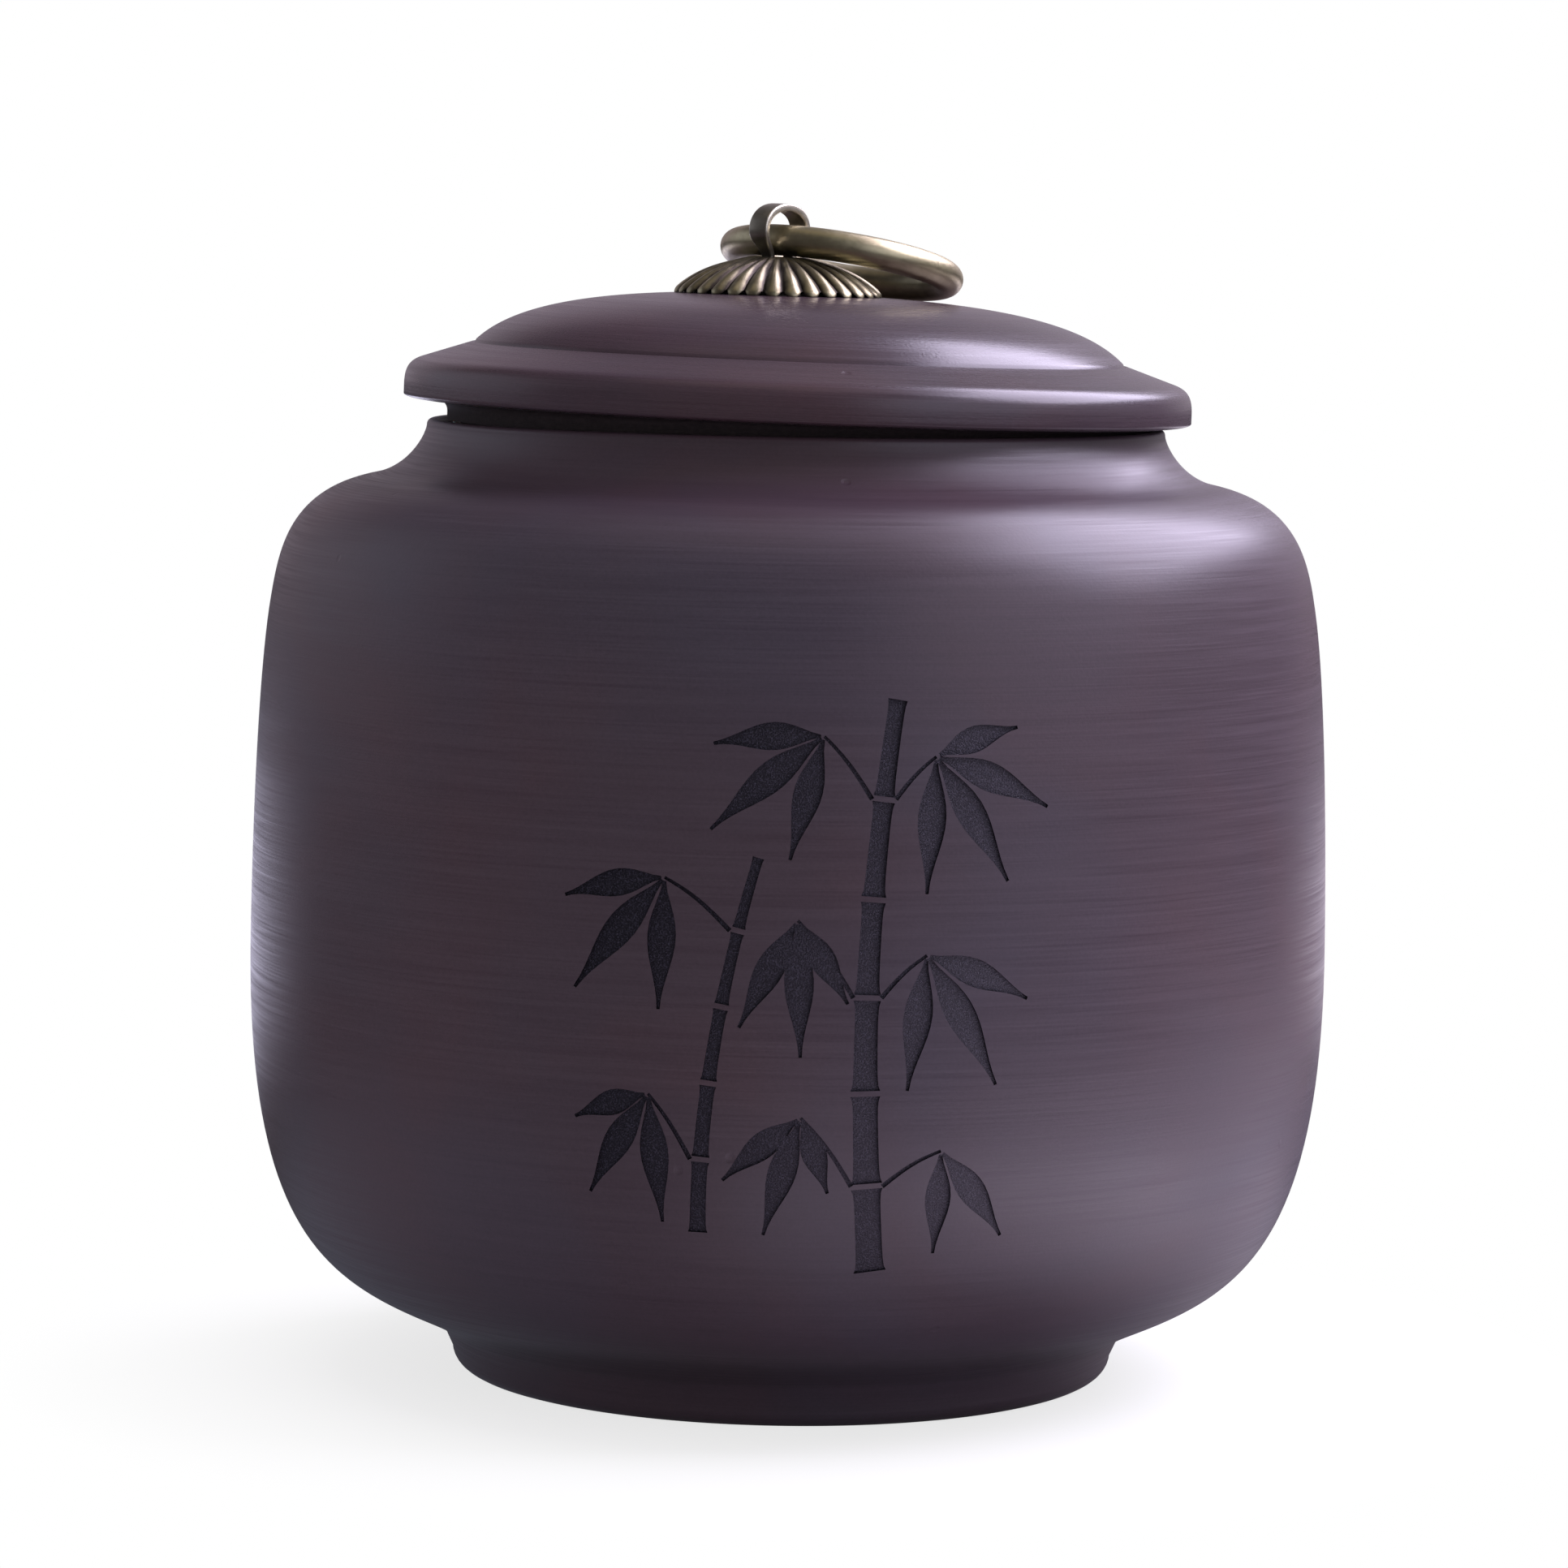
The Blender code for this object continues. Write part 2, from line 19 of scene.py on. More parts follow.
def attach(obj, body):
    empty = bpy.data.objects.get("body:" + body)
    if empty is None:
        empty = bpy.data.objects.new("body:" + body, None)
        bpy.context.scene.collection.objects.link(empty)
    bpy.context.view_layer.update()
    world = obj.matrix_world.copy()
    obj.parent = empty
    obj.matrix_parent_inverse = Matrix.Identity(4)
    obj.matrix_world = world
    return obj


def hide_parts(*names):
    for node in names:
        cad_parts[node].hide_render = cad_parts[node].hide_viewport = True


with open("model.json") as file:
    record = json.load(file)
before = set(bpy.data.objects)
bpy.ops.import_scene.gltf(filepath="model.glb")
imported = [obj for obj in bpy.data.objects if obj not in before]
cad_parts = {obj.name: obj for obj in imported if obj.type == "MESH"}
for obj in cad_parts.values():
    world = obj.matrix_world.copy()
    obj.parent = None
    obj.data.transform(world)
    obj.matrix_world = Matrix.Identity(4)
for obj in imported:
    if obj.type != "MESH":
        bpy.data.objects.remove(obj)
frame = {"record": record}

LOG = logging.getLogger("caddy")
MM = 0.001
TINY = 0.000001
QUARTER = math.pi / 2
WHITE = (1.0, 1.0, 1.0)
TURNING = "turning"  # attribute: the distance along a turned outline
SHADE_AND_PATINA = "recess"  # attribute, from 0 to 1: how dark the brass is drawn there, patina in the rosette's grooves and painted shade elsewhere
SMOOTH_ENOUGH = math.cos(math.radians(14))  # how near a face lies to the outline's own slope
BATCH = 4000  # how many points are held against an outline at once
COLOUR_MIX = (0, 6, 7)  # the Mix node's share and its two colours, among its inputs

Point = tuple[float, float]
Span = tuple[float, float]
Place = tuple[float, float, float]
Colour = tuple[float, float, float]


# Curves and outlines


def curve(start: Point, start_angle: float, end: Point, end_angle: float,
          shares: tuple[float, float], steps: int) -> list[Point]:
    """Points of a smooth curve that leaves and arrives at given angles.

    Args:
        start: The first point.
        start_angle: The direction of travel at the start.
        end: The last point.
        end_angle: The direction of travel at the end.
        shares: The straight lead at each end, as a share of the chord.
        steps: How many stretches the curve has.

    Returns:
        The points, both ends included.
    """
    first, last = Vector(start), Vector(end)
    chord = (last - first).length
    lead = first + Vector((math.cos(start_angle), math.sin(start_angle))) * chord * shares[0]
    tail = last - Vector((math.cos(end_angle), math.sin(end_angle))) * chord * shares[1]
    points = []
    for step in range(steps + 1):
        t = step / steps
        u = 1 - t
        points.append(tuple(first * u**3 + lead * 3 * u * u * t + tail * 3 * u * t * t + last * t**3))
    return points


def joined(*stretches: Sequence[Point]) -> list[Point]:
    """One outline from several, with each shared point kept once.

    Args:
        stretches: The outlines, each starting where the last one ends.

    Returns:
        The outline.
    """
    outline: list[Point] = []
    for point in (point for stretch in stretches for point in stretch):
        if not outline or math.dist(point, outline[-1]) > TINY:
            outline.append(tuple(point))
    return outline


def refined(outline: Sequence[Point], step: float) -> list[Point]:
    """The outline with its longer straight stretches divided.

    Args:
        outline: The points.
        step: The longest stretch that is left whole.

    Returns:
        The points with new ones between them.
    """
    fine = [outline[0]]
    for (r0, z0), (r1, z1) in zip(outline, outline[1:]):
        parts = max(1, math.ceil(math.dist((r0, z0), (r1, z1)) / step))
        fine += [(r0 + (r1 - r0) * k / parts, z0 + (z1 - z0) * k / parts) for k in range(1, parts + 1)]
    return fine


def held(value: float) -> float:
    """The value, held between 0 and 1."""
    return min(max(value, 0.0), 1.0)


def radius_at(outline: Sequence[Point], height: float) -> float:
    """The radius of an outline that runs upwards, at a height.

    Args:
        outline: The points, from the bottom up.
        height: The height.

    Returns:
        The radius, or the last one where the outline doesn't reach.
    """
    for (r0, z0), (r1, z1) in zip(outline, outline[1:]):
        if z0 <= height <= z1:
            return r0 + (r1 - r0) * (height - z0) / (z1 - z0)
    return outline[-1][0]


# Node trees


def join(tree: bpy.types.NodeTree, made: bpy.types.Node, inputs: dict[Any, Any]) -> None:
    """Set a node's inputs to values or join them to sockets, by their names or numbers.

    Args:
        tree: The node's tree.
        made: The node.
        inputs: Values, or output sockets to join.
    """
    for key, value in inputs.items():
        if isinstance(value, bpy.types.NodeSocket):
            tree.links.new(value, made.inputs[key])
        else:
            made.inputs[key].default_value = value


def node(tree: bpy.types.NodeTree, kind: str, inputs: dict[Any, Any] | None = None,
         **settings: Any) -> bpy.types.Node:
    """Add a node, set it up and join its inputs.

    Args:
        tree: The tree that it goes in.
        kind: The node's type.
        inputs: Values, or output sockets to join, by the input's name or number.
        settings: The node's own properties.

    Returns:
        The node.
    """
    made = tree.nodes.new(kind)
    for key, value in settings.items():
        setattr(made, key, value)
    join(tree, made, inputs or {})
    return made


def math_node(tree: bpy.types.NodeTree, operation: str, *values: Any) -> bpy.types.NodeSocket:
    """The result of one sum on values or sockets."""
    return node(tree, "ShaderNodeMath", dict(enumerate(values)), operation=operation).outputs[0]


def map_range(tree: bpy.types.NodeTree, value: Any, low: float, high: float,
              to_low: float = 0.0, to_high: float = 1.0) -> bpy.types.NodeSocket:
    """A value moved from one range to another, and held inside the new one.

    Args:
        tree: The tree that the nodes go in.
        value: The value.
        low: Where its range starts.
        high: Where its range ends.
        to_low: What low becomes.
        to_high: What high becomes.

    Returns:
        The moved value.
    """
    return node(tree, "ShaderNodeMapRange", {
        "Value": value, "From Min": low, "From Max": high, "To Min": to_low, "To Max": to_high,
    }).outputs["Result"]


def mix_colour(tree: bpy.types.NodeTree, share: Any, first: Any, second: Any,
               blend: str = "MIX") -> bpy.types.NodeSocket:
    """Two colours mixed by a share.

    Args:
        tree: The tree that the nodes go in.
        share: How much of the second.
        first: The first colour.
        second: The second colour.
        blend: How they are mixed.

    Returns:
        The mixed colour.
    """
    values = [(*value, 1.0) if isinstance(value, tuple) else value for value in (share, first, second)]
    made = node(tree, "ShaderNodeMix", dict(zip(COLOUR_MIX, values)), data_type="RGBA", blend_type=blend)
    return made.outputs[2]


def on_piece(tree: bpy.types.NodeTree) -> bpy.types.NodeSocket:
    """Where a point lies on its piece."""
    return node(tree, "ShaderNodeTexCoord").outputs["Object"]


def kept_on(tree: bpy.types.NodeTree, attribute: str) -> bpy.types.NodeSocket:
    """A number that the mesh keeps on its points."""
    return node(tree, "ShaderNodeAttribute", attribute_name=attribute).outputs["Fac"]


def noise(tree: bpy.types.NodeTree, vector: Any, scale: Any, detail: float,
          roughness: float) -> bpy.types.NodeSocket:
    """Soft noise from 0 to 1 at a point.

    Args:
        tree: The tree that the nodes go in.
        vector: The point.
        scale: How fine it is.
        detail: How many finer layers it has.
        roughness: How strong the finer layers are.

    Returns:
        The noise.
    """
    return node(tree, "ShaderNodeTexNoise", {
        "Vector": vector, "Scale": scale, "Detail": detail, "Roughness": roughness,
    }).outputs[0]


def group_tree(name: str, inputs: dict[str, float], outputs: Sequence[str]) -> bpy.types.NodeTree:
    """An empty shader group with named number sockets.

    Args:
        name: The group's name.
        inputs: Each input's name and default value.
        outputs: The outputs' names.

    Returns:
        The group's tree.
    """
    tree = bpy.data.node_groups.new(name, "ShaderNodeTree")
    number = "NodeSocketFloat"
    for label, value in inputs.items():
        tree.interface.new_socket(label, in_out="INPUT", socket_type=number).default_value = value
    for label in outputs:
        tree.interface.new_socket(label, in_out="OUTPUT", socket_type=number)
    return tree


class Effects:
    """The shader groups that more than one finish uses. Scales and finenesses are per metre."""

    BAND_FINENESS = 900.0  # of the broad bands among the fine turning lines
    LINE_SHARE, BAND_SHARE = 0.7, 0.3
    WAVE_FINENESS, WAVE_REACH = 160.0, 9.0  # of the slow waves that the throwing leaves
    WHOLE_CELLS = 0.965  # the share of cells with no pit in them
    PIT_SIZE = (0.05, 0.11)
    SCUFF_SCALE = 2600.0

    def __init__(self) -> None:
        """Build each group once."""
        self.turning_lines = self._turning_lines()
        self.grain = self._grain()
        self.tarnish_and_shade = self._tarnish_and_shade()

    def _turning_lines(self) -> bpy.types.NodeTree:
        """Fine lines that run round a turned piece and fade in and out, and its slow throwing waves.

        Returns:
            The group, which puts out the lines and the waves.
        """
        tree = group_tree("turning_lines", {"Fineness": 4200.0, "Reach": 45.0}, ("Lines", "Waves"))
        given = node(tree, "NodeGroupInput").outputs
        place = node(tree, "ShaderNodeSeparateXYZ", {0: on_piece(tree)}).outputs
        along = kept_on(tree, TURNING)

        def stretched(reach: Any, fineness: Any) -> bpy.types.NodeSocket:
            """A place that changes slowly round the piece and fast along its outline.

            Args:
                reach: How fast it changes round the piece.
                fineness: How fast along the outline.

            Returns:
                The place.
            """
            return node(tree, "ShaderNodeCombineXYZ", {
                0: math_node(tree, "MULTIPLY", place[0], reach),
                1: math_node(tree, "MULTIPLY", place[1], reach),
                2: math_node(tree, "MULTIPLY", along, fineness)}).outputs[0]

        lines = noise(tree, stretched(given["Reach"], given["Fineness"]), 1.0, detail=3.0, roughness=0.6)
        bands = noise(tree, stretched(given["Reach"], self.BAND_FINENESS), 1.0, detail=2.0, roughness=0.5)
        both = math_node(tree, "ADD", math_node(tree, "MULTIPLY", lines, self.LINE_SHARE),
                         math_node(tree, "MULTIPLY", bands, self.BAND_SHARE))
        node(tree, "NodeGroupOutput", {
            "Lines": map_range(tree, both, 0.32, 0.68),
            "Waves": noise(tree, stretched(self.WAVE_REACH, self.WAVE_FINENESS), 1.0,
                           detail=1.0, roughness=0.4)})
        return tree

    def _grain(self) -> bpy.types.NodeTree:
        """The clay's or casting's own grain, broad patches of tone, and a few small pits.

        Returns:
            The group, which puts out the grain, the patches and the pits.
        """
        tree = group_tree("grain", {"Grain Scale": 3200.0, "Patch Scale": 34.0, "Pit Scale": 190.0},
                          ("Grain", "Patches", "Pits"))
        given = node(tree, "NodeGroupInput").outputs
        place = on_piece(tree)
        fine = node(tree, "ShaderNodeTexNoise", {
            "Vector": place, "Scale": given["Grain Scale"], "Detail": 2.0}).outputs[0]
        patches = node(tree, "ShaderNodeTexNoise", {
            "Vector": place, "Scale": given["Patch Scale"], "Detail": 3.0, "Distortion": 0.6}).outputs[0]
        cells = node(tree, "ShaderNodeTexVoronoi", {"Vector": place, "Scale": given["Pit Scale"]}).outputs
        chance = node(tree, "ShaderNodeSeparateColor", {0: cells["Color"]}).outputs[0]
        node(tree, "NodeGroupOutput", {
            "Grain": fine, "Patches": map_range(tree, patches, 0.3, 0.7),
            "Pits": math_node(tree, "MULTIPLY", math_node(tree, "GREATER_THAN", chance, self.WHOLE_CELLS),
                              map_range(tree, cells["Distance"], *self.PIT_SIZE, 1.0, 0.0))})
        return tree

    def _tarnish_and_shade(self) -> bpy.types.NodeTree:
        """Where the brass is drawn dark: in clouds of tarnish, and where the kept attribute holds patina in
        hollows and painted shade.

        Returns:
            The group, which puts out the dark places and the scuffs.
        """
        tree = group_tree("tarnish_and_shade", {"Hollows": 1.0, "Clouds": 0.4, "Cloud Scale": 420.0},
                          ("Dark", "Scuffs"))
        given = node(tree, "NodeGroupInput").outputs
        place = on_piece(tree)
        clouds = noise(tree, place, given["Cloud Scale"], detail=5.0, roughness=0.6)
        cloud_mask = math_node(
            tree, "MULTIPLY", map_range(tree, clouds, 0.42, 0.68), given["Clouds"])
        patina_and_shade_mask = math_node(tree, "MULTIPLY", kept_on(tree, SHADE_AND_PATINA), given["Hollows"])
        scuffs = noise(tree, place, self.SCUFF_SCALE, detail=3.0, roughness=0.6)
        node(tree, "NodeGroupOutput", {
            "Dark": math_node(tree, "MINIMUM", math_node(tree, "ADD", cloud_mask, patina_and_shade_mask), 1.0),
            "Scuffs": map_range(tree, scuffs, 0.35, 0.65)})
        return tree

    @staticmethod
    def place(tree: bpy.types.NodeTree, effect: bpy.types.NodeTree,
              **values: float) -> bpy.types.bpy_prop_collection:
        """Use a group in a material, with its own values.

        Args:
            tree: The material's tree.
            effect: The group.
            values: The group's named inputs, in lower case with underscores.

        Returns:
            The group's outputs.
        """
        made = node(tree, "ShaderNodeGroup", node_tree=effect)
        for label, value in values.items():
            made.inputs[label.replace("_", " ").title()].default_value = value
        return made.outputs


# Finishes


def new_material(name: str) -> tuple[bpy.types.Material, bpy.types.NodeTree, bpy.types.Node]:
    """A material with its tree and its shader.

    Args:
        name: Its name.

    Returns:
        The material, its tree and its shader.
    """
    made = bpy.data.materials.new(name)
    made.use_nodes = True
    return made, made.node_tree, made.node_tree.nodes["Principled BSDF"]


def set_bumps(tree: bpy.types.NodeTree, shader: bpy.types.Node,
              layers: Sequence[tuple[bpy.types.NodeSocket, float]]) -> None:
    """Chain bump nodes into the shader's normal.

    Args:
        tree: The material's tree.
        shader: The shader.
        layers: For each layer its height socket and its depth in metres.
    """
    below: dict[str, Any] = {}
    for height, depth in layers:
        bump = node(tree, "ShaderNodeBump", {"Height": height, "Distance": depth, "Strength": 1.0, **below})
        below = {"Normal": bump.outputs[0]}
    join(tree, shader, below)


@dataclass(frozen=True)
class BurnishedClay:
    """Dark purple-brown stoneware, rubbed to a satin on the wheel."""

    name: str = "burnished_clay"
    base: Colour = (0.0480, 0.0305, 0.0415)
    warm: Colour = (0.0535, 0.0300, 0.0395)
    cool: Colour = (0.0440, 0.0335, 0.0490)
    warm_from: float = 0.35  # the part of the patches' range from which the clay turns warm
    cool_from: float = 0.45
    cool_share: float = 0.9
    cool_scale: float = 21.0
    roughness: Span = (0.31, 0.47)
    line_shade: Span = (0.87, 1.09)
    grain_shade: Span = (-0.05, 0.07)
    line_depth: float = 0.0000046
    grain_depth: float = 0.0000060
    wave_depth: float = 0.00012
    pit_depth: float = 0.00006

    def make(self, effects: Effects) -> bpy.types.Material:
        """The material.

        Args:
            effects: The shader groups.

        Returns:
            The material.
        """
        made, tree, shader = new_material(self.name)
        turned = effects.place(tree, effects.turning_lines)
        grain = effects.place(tree, effects.grain)
        tint = effects.place(tree, effects.grain, patch_scale=self.cool_scale)
        warm = map_range(tree, grain["Patches"], self.warm_from, 1.0)
        cool = map_range(tree, tint["Patches"], self.cool_from, 1.0, 0.0, self.cool_share)
        tone = mix_colour(tree, cool, mix_colour(tree, warm, self.base, self.warm), self.cool)
        shade = math_node(tree, "ADD", map_range(tree, turned["Lines"], 0.0, 1.0, *self.line_shade),
                          map_range(tree, grain["Grain"], 0.3, 0.7, *self.grain_shade))
        value = node(tree, "ShaderNodeCombineColor", {0: shade, 1: shade, 2: shade}).outputs[0]
        join(tree, shader, {
            "Base Color": mix_colour(tree, 1.0, tone, value, "MULTIPLY"),
            "Roughness": map_range(tree, turned["Lines"], 0.0, 1.0, *self.roughness)})
        set_bumps(tree, shader, (
            (turned["Waves"], self.wave_depth), (turned["Lines"], self.line_depth),
            (grain["Grain"], self.grain_depth),
            (math_node(tree, "SUBTRACT", 1.0, grain["Pits"]), self.pit_depth)))
        return made


@dataclass(frozen=True)
class RawClay:
    """The same stoneware where no one rubs it: inside, and under the foot."""

    name: str = "raw_clay"
    base: Colour = (0.050, 0.030, 0.034)
    dust: Colour = (0.070, 0.045, 0.048)
    dust_share: float = 0.8
    roughness: float = 0.78
    wave_depth: float = 0.0004
    line_depth: float = 0.00003
    grain_depth: float = 0.00003

    def make(self, effects: Effects) -> bpy.types.Material:
        """The material.

        Args:
            effects: The shader groups.

        Returns:
            The material.
        """
        made, tree, shader = new_material(self.name)
        turned = effects.place(tree, effects.turning_lines, fineness=2600.0, reach=30.0)
        grain = effects.place(tree, effects.grain, grain_scale=2200.0)
        dusty = map_range(tree, grain["Grain"], 0.35, 0.7, 0.0, self.dust_share)
        join(tree, shader, {
            "Base Color": mix_colour(tree, dusty, self.base, self.dust), "Roughness": self.roughness})
        set_bumps(tree, shader, (
            (turned["Waves"], self.wave_depth), (turned["Lines"], self.line_depth),
            (grain["Grain"], self.grain_depth)))
        return made


@dataclass(frozen=True)
class EngravedBlack:
    """Black glaze rubbed into the engraving, with a grainy shine."""

    name: str = "engraved_black"
    base: Colour = (0.0026, 0.0023, 0.0042)
    glint: Colour = (0.034, 0.031, 0.047)
    speck_scale: float = 5600.0
    speck_depth: float = 0.00010
    roughness: Span = (0.42, 0.18)  # between the specks, and on them
    refraction: float = 1.56
    shine: Colour = (0.92, 0.84, 1.0)

    def make(self) -> bpy.types.Material:
        """The material.

        Returns:
            The material.
        """
        made, tree, shader = new_material(self.name)
        specks = noise(tree, on_piece(tree), self.speck_scale, detail=3.0, roughness=0.75)
        glints = map_range(tree, specks, 0.52, 0.68)
        join(tree, shader, {
            "Base Color": mix_colour(tree, glints, self.base, self.glint),
            "Roughness": map_range(tree, specks, 0.40, 0.62, *self.roughness),
            "IOR": self.refraction, "Specular Tint": (*self.shine, 1.0)})
        set_bumps(tree, shader, ((specks, self.speck_depth),))
        return made


class Wear(Enum):
    """How much a brass piece is handled: its clouds of tarnish, and its roughness rubbed and dull."""

    FINGERED = (0.16, 0.31, 0.42)
    FITTED = (0.40, 0.30, 0.44)
    HIDDEN = (0.25, 0.34, 0.42)


@dataclass(frozen=True)
class AntiqueBrass:
    """Brass darkened with tarnish clouds, patina in its hollows and painted shade, and left bright on its
    high places and edges, partly as wear and partly as a painted highlight.
    """

    wear: Wear
    bright: Colour = (0.54, 0.485, 0.305)
    dull: Colour = (0.37, 0.325, 0.200)
    dark: Colour = (0.045, 0.036, 0.028)
    patch_depth: float = 0.000022
    grain_depth: float = 0.0000008

    def make(self, effects: Effects) -> bpy.types.Material:
        """The material.

        Args:
            effects: The shader groups.

        Returns:
            The material.
        """
        clouds, rubbed, rough = self.wear.value
        made, tree, shader = new_material(f"antique_brass_{self.wear.name.lower()}")
        tarnish_and_shade = effects.place(tree, effects.tarnish_and_shade, clouds=clouds)
        grain = effects.place(tree, effects.grain, grain_scale=4200.0, patch_scale=260.0)
        clean = mix_colour(tree, grain["Patches"], self.bright, self.dull)
        worn = math_node(tree, "MAXIMUM", tarnish_and_shade["Dark"], tarnish_and_shade["Scuffs"])
        join(tree, shader, {
            "Base Color": mix_colour(tree, tarnish_and_shade["Dark"], clean, self.dark),
            "Roughness": map_range(tree, worn, 0.0, 1.0, rubbed, rough), "Metallic": 1.0})
        set_bumps(tree, shader, (
            (grain["Patches"], self.patch_depth), (grain["Grain"], self.grain_depth)))
        return made


@dataclass(frozen=True)
class Silicone:
    """The soft grey of the lip seal, which lets a little light through."""

    name: str = "seal_silicone"
    base: Colour = (0.56, 0.56, 0.54)
    patch_shade: float = 0.9
    roughness: float = 0.5
    glow_share: float = 0.35
    glow_depth: float = 0.002
    grain_depth: float = 0.000006

    def make(self, effects: Effects) -> bpy.types.Material:
        """The material.

        Args:
            effects: The shader groups.

        Returns:
            The material.
        """
        made, tree, shader = new_material(self.name)
        grain = effects.place(tree, effects.grain, grain_scale=1500.0, patch_scale=120.0)
        darker = tuple(part * self.patch_shade for part in self.base)
        join(tree, shader, {
            "Base Color": mix_colour(tree, grain["Patches"], self.base, darker),
            "Roughness": self.roughness, "Subsurface Weight": self.glow_share,
            "Subsurface Scale": self.glow_depth})
        set_bumps(tree, shader, ((grain["Grain"], self.grain_depth),))
        return made


# Geometry Nodes


class GeometryRule:
    """A Geometry Nodes tree with named inputs, built once and used for several pieces."""

    def __init__(self, name: str, inputs: dict[str, str],
                 build: Callable[[bpy.types.NodeTree, bpy.types.Node], bpy.types.NodeSocket]) -> None:
        """Build the tree.

        Args:
            name: The tree's name.
            inputs: Each input's name and socket type, after the geometry and before the material.
            build: Adds the rule's own nodes and returns its geometry.
        """
        self.tree = bpy.data.node_groups.new(name, "GeometryNodeTree")
        face = self.tree.interface
        face.new_socket("Geometry", in_out="INPUT", socket_type="NodeSocketGeometry")
        sockets = {
            label: face.new_socket(label, in_out="INPUT", socket_type=kind)
            for label, kind in {**inputs, "Material": "NodeSocketMaterial"}.items()}
        face.new_socket("Geometry", in_out="OUTPUT", socket_type="NodeSocketGeometry")
        self.identifiers = {label: socket.identifier for label, socket in sockets.items()}
        given = node(self.tree, "NodeGroupInput")
        shape = build(self.tree, given)
        real = node(self.tree, "GeometryNodeRealizeInstances", {0: shape})
        merged = node(self.tree, "GeometryNodeMergeByDistance", {
            "Geometry": real.outputs[0], "Distance": TINY})
        dressed = node(self.tree, "GeometryNodeSetMaterial", {
            "Geometry": merged.outputs[0], "Material": given.outputs["Material"]})
        node(self.tree, "NodeGroupOutput", {0: dressed.outputs[0]})

    def grow(self, name: str, seed_mesh: bpy.types.Mesh, **values: Any) -> bpy.types.Object:
        """Run the rule on a mesh and keep the result as a plain mesh.

        Args:
            name: The new piece's name.
            seed_mesh: What the rule starts from.
            values: The rule's named inputs, in lower case with underscores.

        Returns:
            The piece, with no modifier left on it.
        """
        piece = set_out(name, seed_mesh)
        rule = piece.modifiers.new(self.tree.name, "NODES")
        rule.node_group = self.tree
        for label, identifier in self.identifiers.items():
            rule[identifier] = values[label.lower().replace(" ", "_")]
        settle(piece)
        return piece


def set_out(name: str, data: Any) -> bpy.types.Object:
    """An object for a mesh, a lamp or a camera, put in the scene.

    Args:
        name: Its name.
        data: The mesh, lamp or camera.

    Returns:
        The object.
    """
    made = bpy.data.objects.new(name, data)
    bpy.context.scene.collection.objects.link(made)
    return made


def mesh_from(builder: bmesh.types.BMesh, name: str) -> bpy.types.Mesh:
    """What a builder holds as a mesh of its own. The builder is used up.

    Args:
        builder: What holds the shape.
        name: The mesh's name.

    Returns:
        The mesh.
    """
    mesh = bpy.data.meshes.new(name)
    builder.to_mesh(mesh)
    builder.free()
    return mesh


def cut_away(piece: bpy.types.Object, cutter: bpy.types.Object, name: str, **settings: Any) -> None:
    """Cut a solid out of a piece.

    Args:
        piece: The piece.
        cutter: The solid, which is taken away afterwards.
        name: What the cut is called.
        settings: The cut's own properties.
    """
    cut = piece.modifiers.new(name, "BOOLEAN")
    for key, value in {"operation": "DIFFERENCE", "solver": "EXACT", **settings}.items():
        setattr(cut, key, value)
    cut.object = cutter
    settle(piece)
    bpy.data.objects.remove(cutter, do_unlink=True)


def settle(piece: bpy.types.Object) -> None:
    """Turn a piece's modifiers into its own mesh, with no empty slot and its faces pointing outwards.

    Args:
        piece: The piece, with its modifiers on it.
    """
    bpy.context.view_layer.update()
    shaped = piece.evaluated_get(bpy.context.evaluated_depsgraph_get())
    mesh = bpy.data.meshes.new_from_object(shaped)
    piece.modifiers.clear()
    piece.data = mesh
    for index in reversed(range(len(mesh.materials))):
        if mesh.materials[index] is None:
            mesh.materials.pop(index=index)
    builder = bmesh.new()
    builder.from_mesh(mesh)
    bmesh.ops.recalc_face_normals(builder, faces=builder.faces)
    builder.to_mesh(mesh)
    builder.free()


def smooth(piece: bpy.types.Object, angle: float = math.radians(32)) -> None:
    """Shade a piece smooth, with its edges past an angle kept sharp."""
    piece.data.shade_smooth()
    piece.data.set_sharp_from_angle(angle=angle)


def turned_rule(tree: bpy.types.NodeTree, given: bpy.types.Node) -> bpy.types.NodeSocket:
    """Carry an outline once round a small circle about Z, as a potter's rib is held to the wheel.

    Args:
        tree: The tree that the nodes go in.
        given: The rule's own inputs.

    Returns:
        The turned shape.
    """
    path = node(tree, "GeometryNodeCurvePrimitiveCircle", {
        "Resolution": given.outputs["Segments"], "Radius": given.outputs["Path Radius"]})
    upright = node(tree, "GeometryNodeSetCurveNormal", {0: path.outputs[0]}, mode="Z_UP")
    outline = node(tree, "GeometryNodeMeshToCurve", {0: given.outputs["Geometry"]})
    return node(tree, "GeometryNodeCurveToMesh", {
        "Curve": upright.outputs[0], "Profile Curve": outline.outputs[0], "Fill Caps": False}).outputs[0]


def ringed_rule(tree: bpy.types.NodeTree, given: bpy.types.Node) -> bpy.types.NodeSocket:
    """Set copies of one piece evenly round the Z axis.

    Args:
        tree: The tree that the nodes go in.
        given: The rule's own inputs.

    Returns:
        The copies.
    """
    spots = node(tree, "GeometryNodeMeshLine", {
        "Count": given.outputs["Count"], "Offset": (0.0, 0.0, 0.0)}, mode="OFFSET")
    step = math_node(tree, "DIVIDE", 2 * math.pi, given.outputs["Count"])
    turn = math_node(tree, "MULTIPLY", node(tree, "GeometryNodeInputIndex").outputs[0], step)
    return node(tree, "GeometryNodeInstanceOnPoints", {
        "Points": spots.outputs[0], "Instance": given.outputs["Geometry"],
        "Rotation": node(tree, "ShaderNodeCombineXYZ", {2: turn}).outputs[0]}).outputs[0]


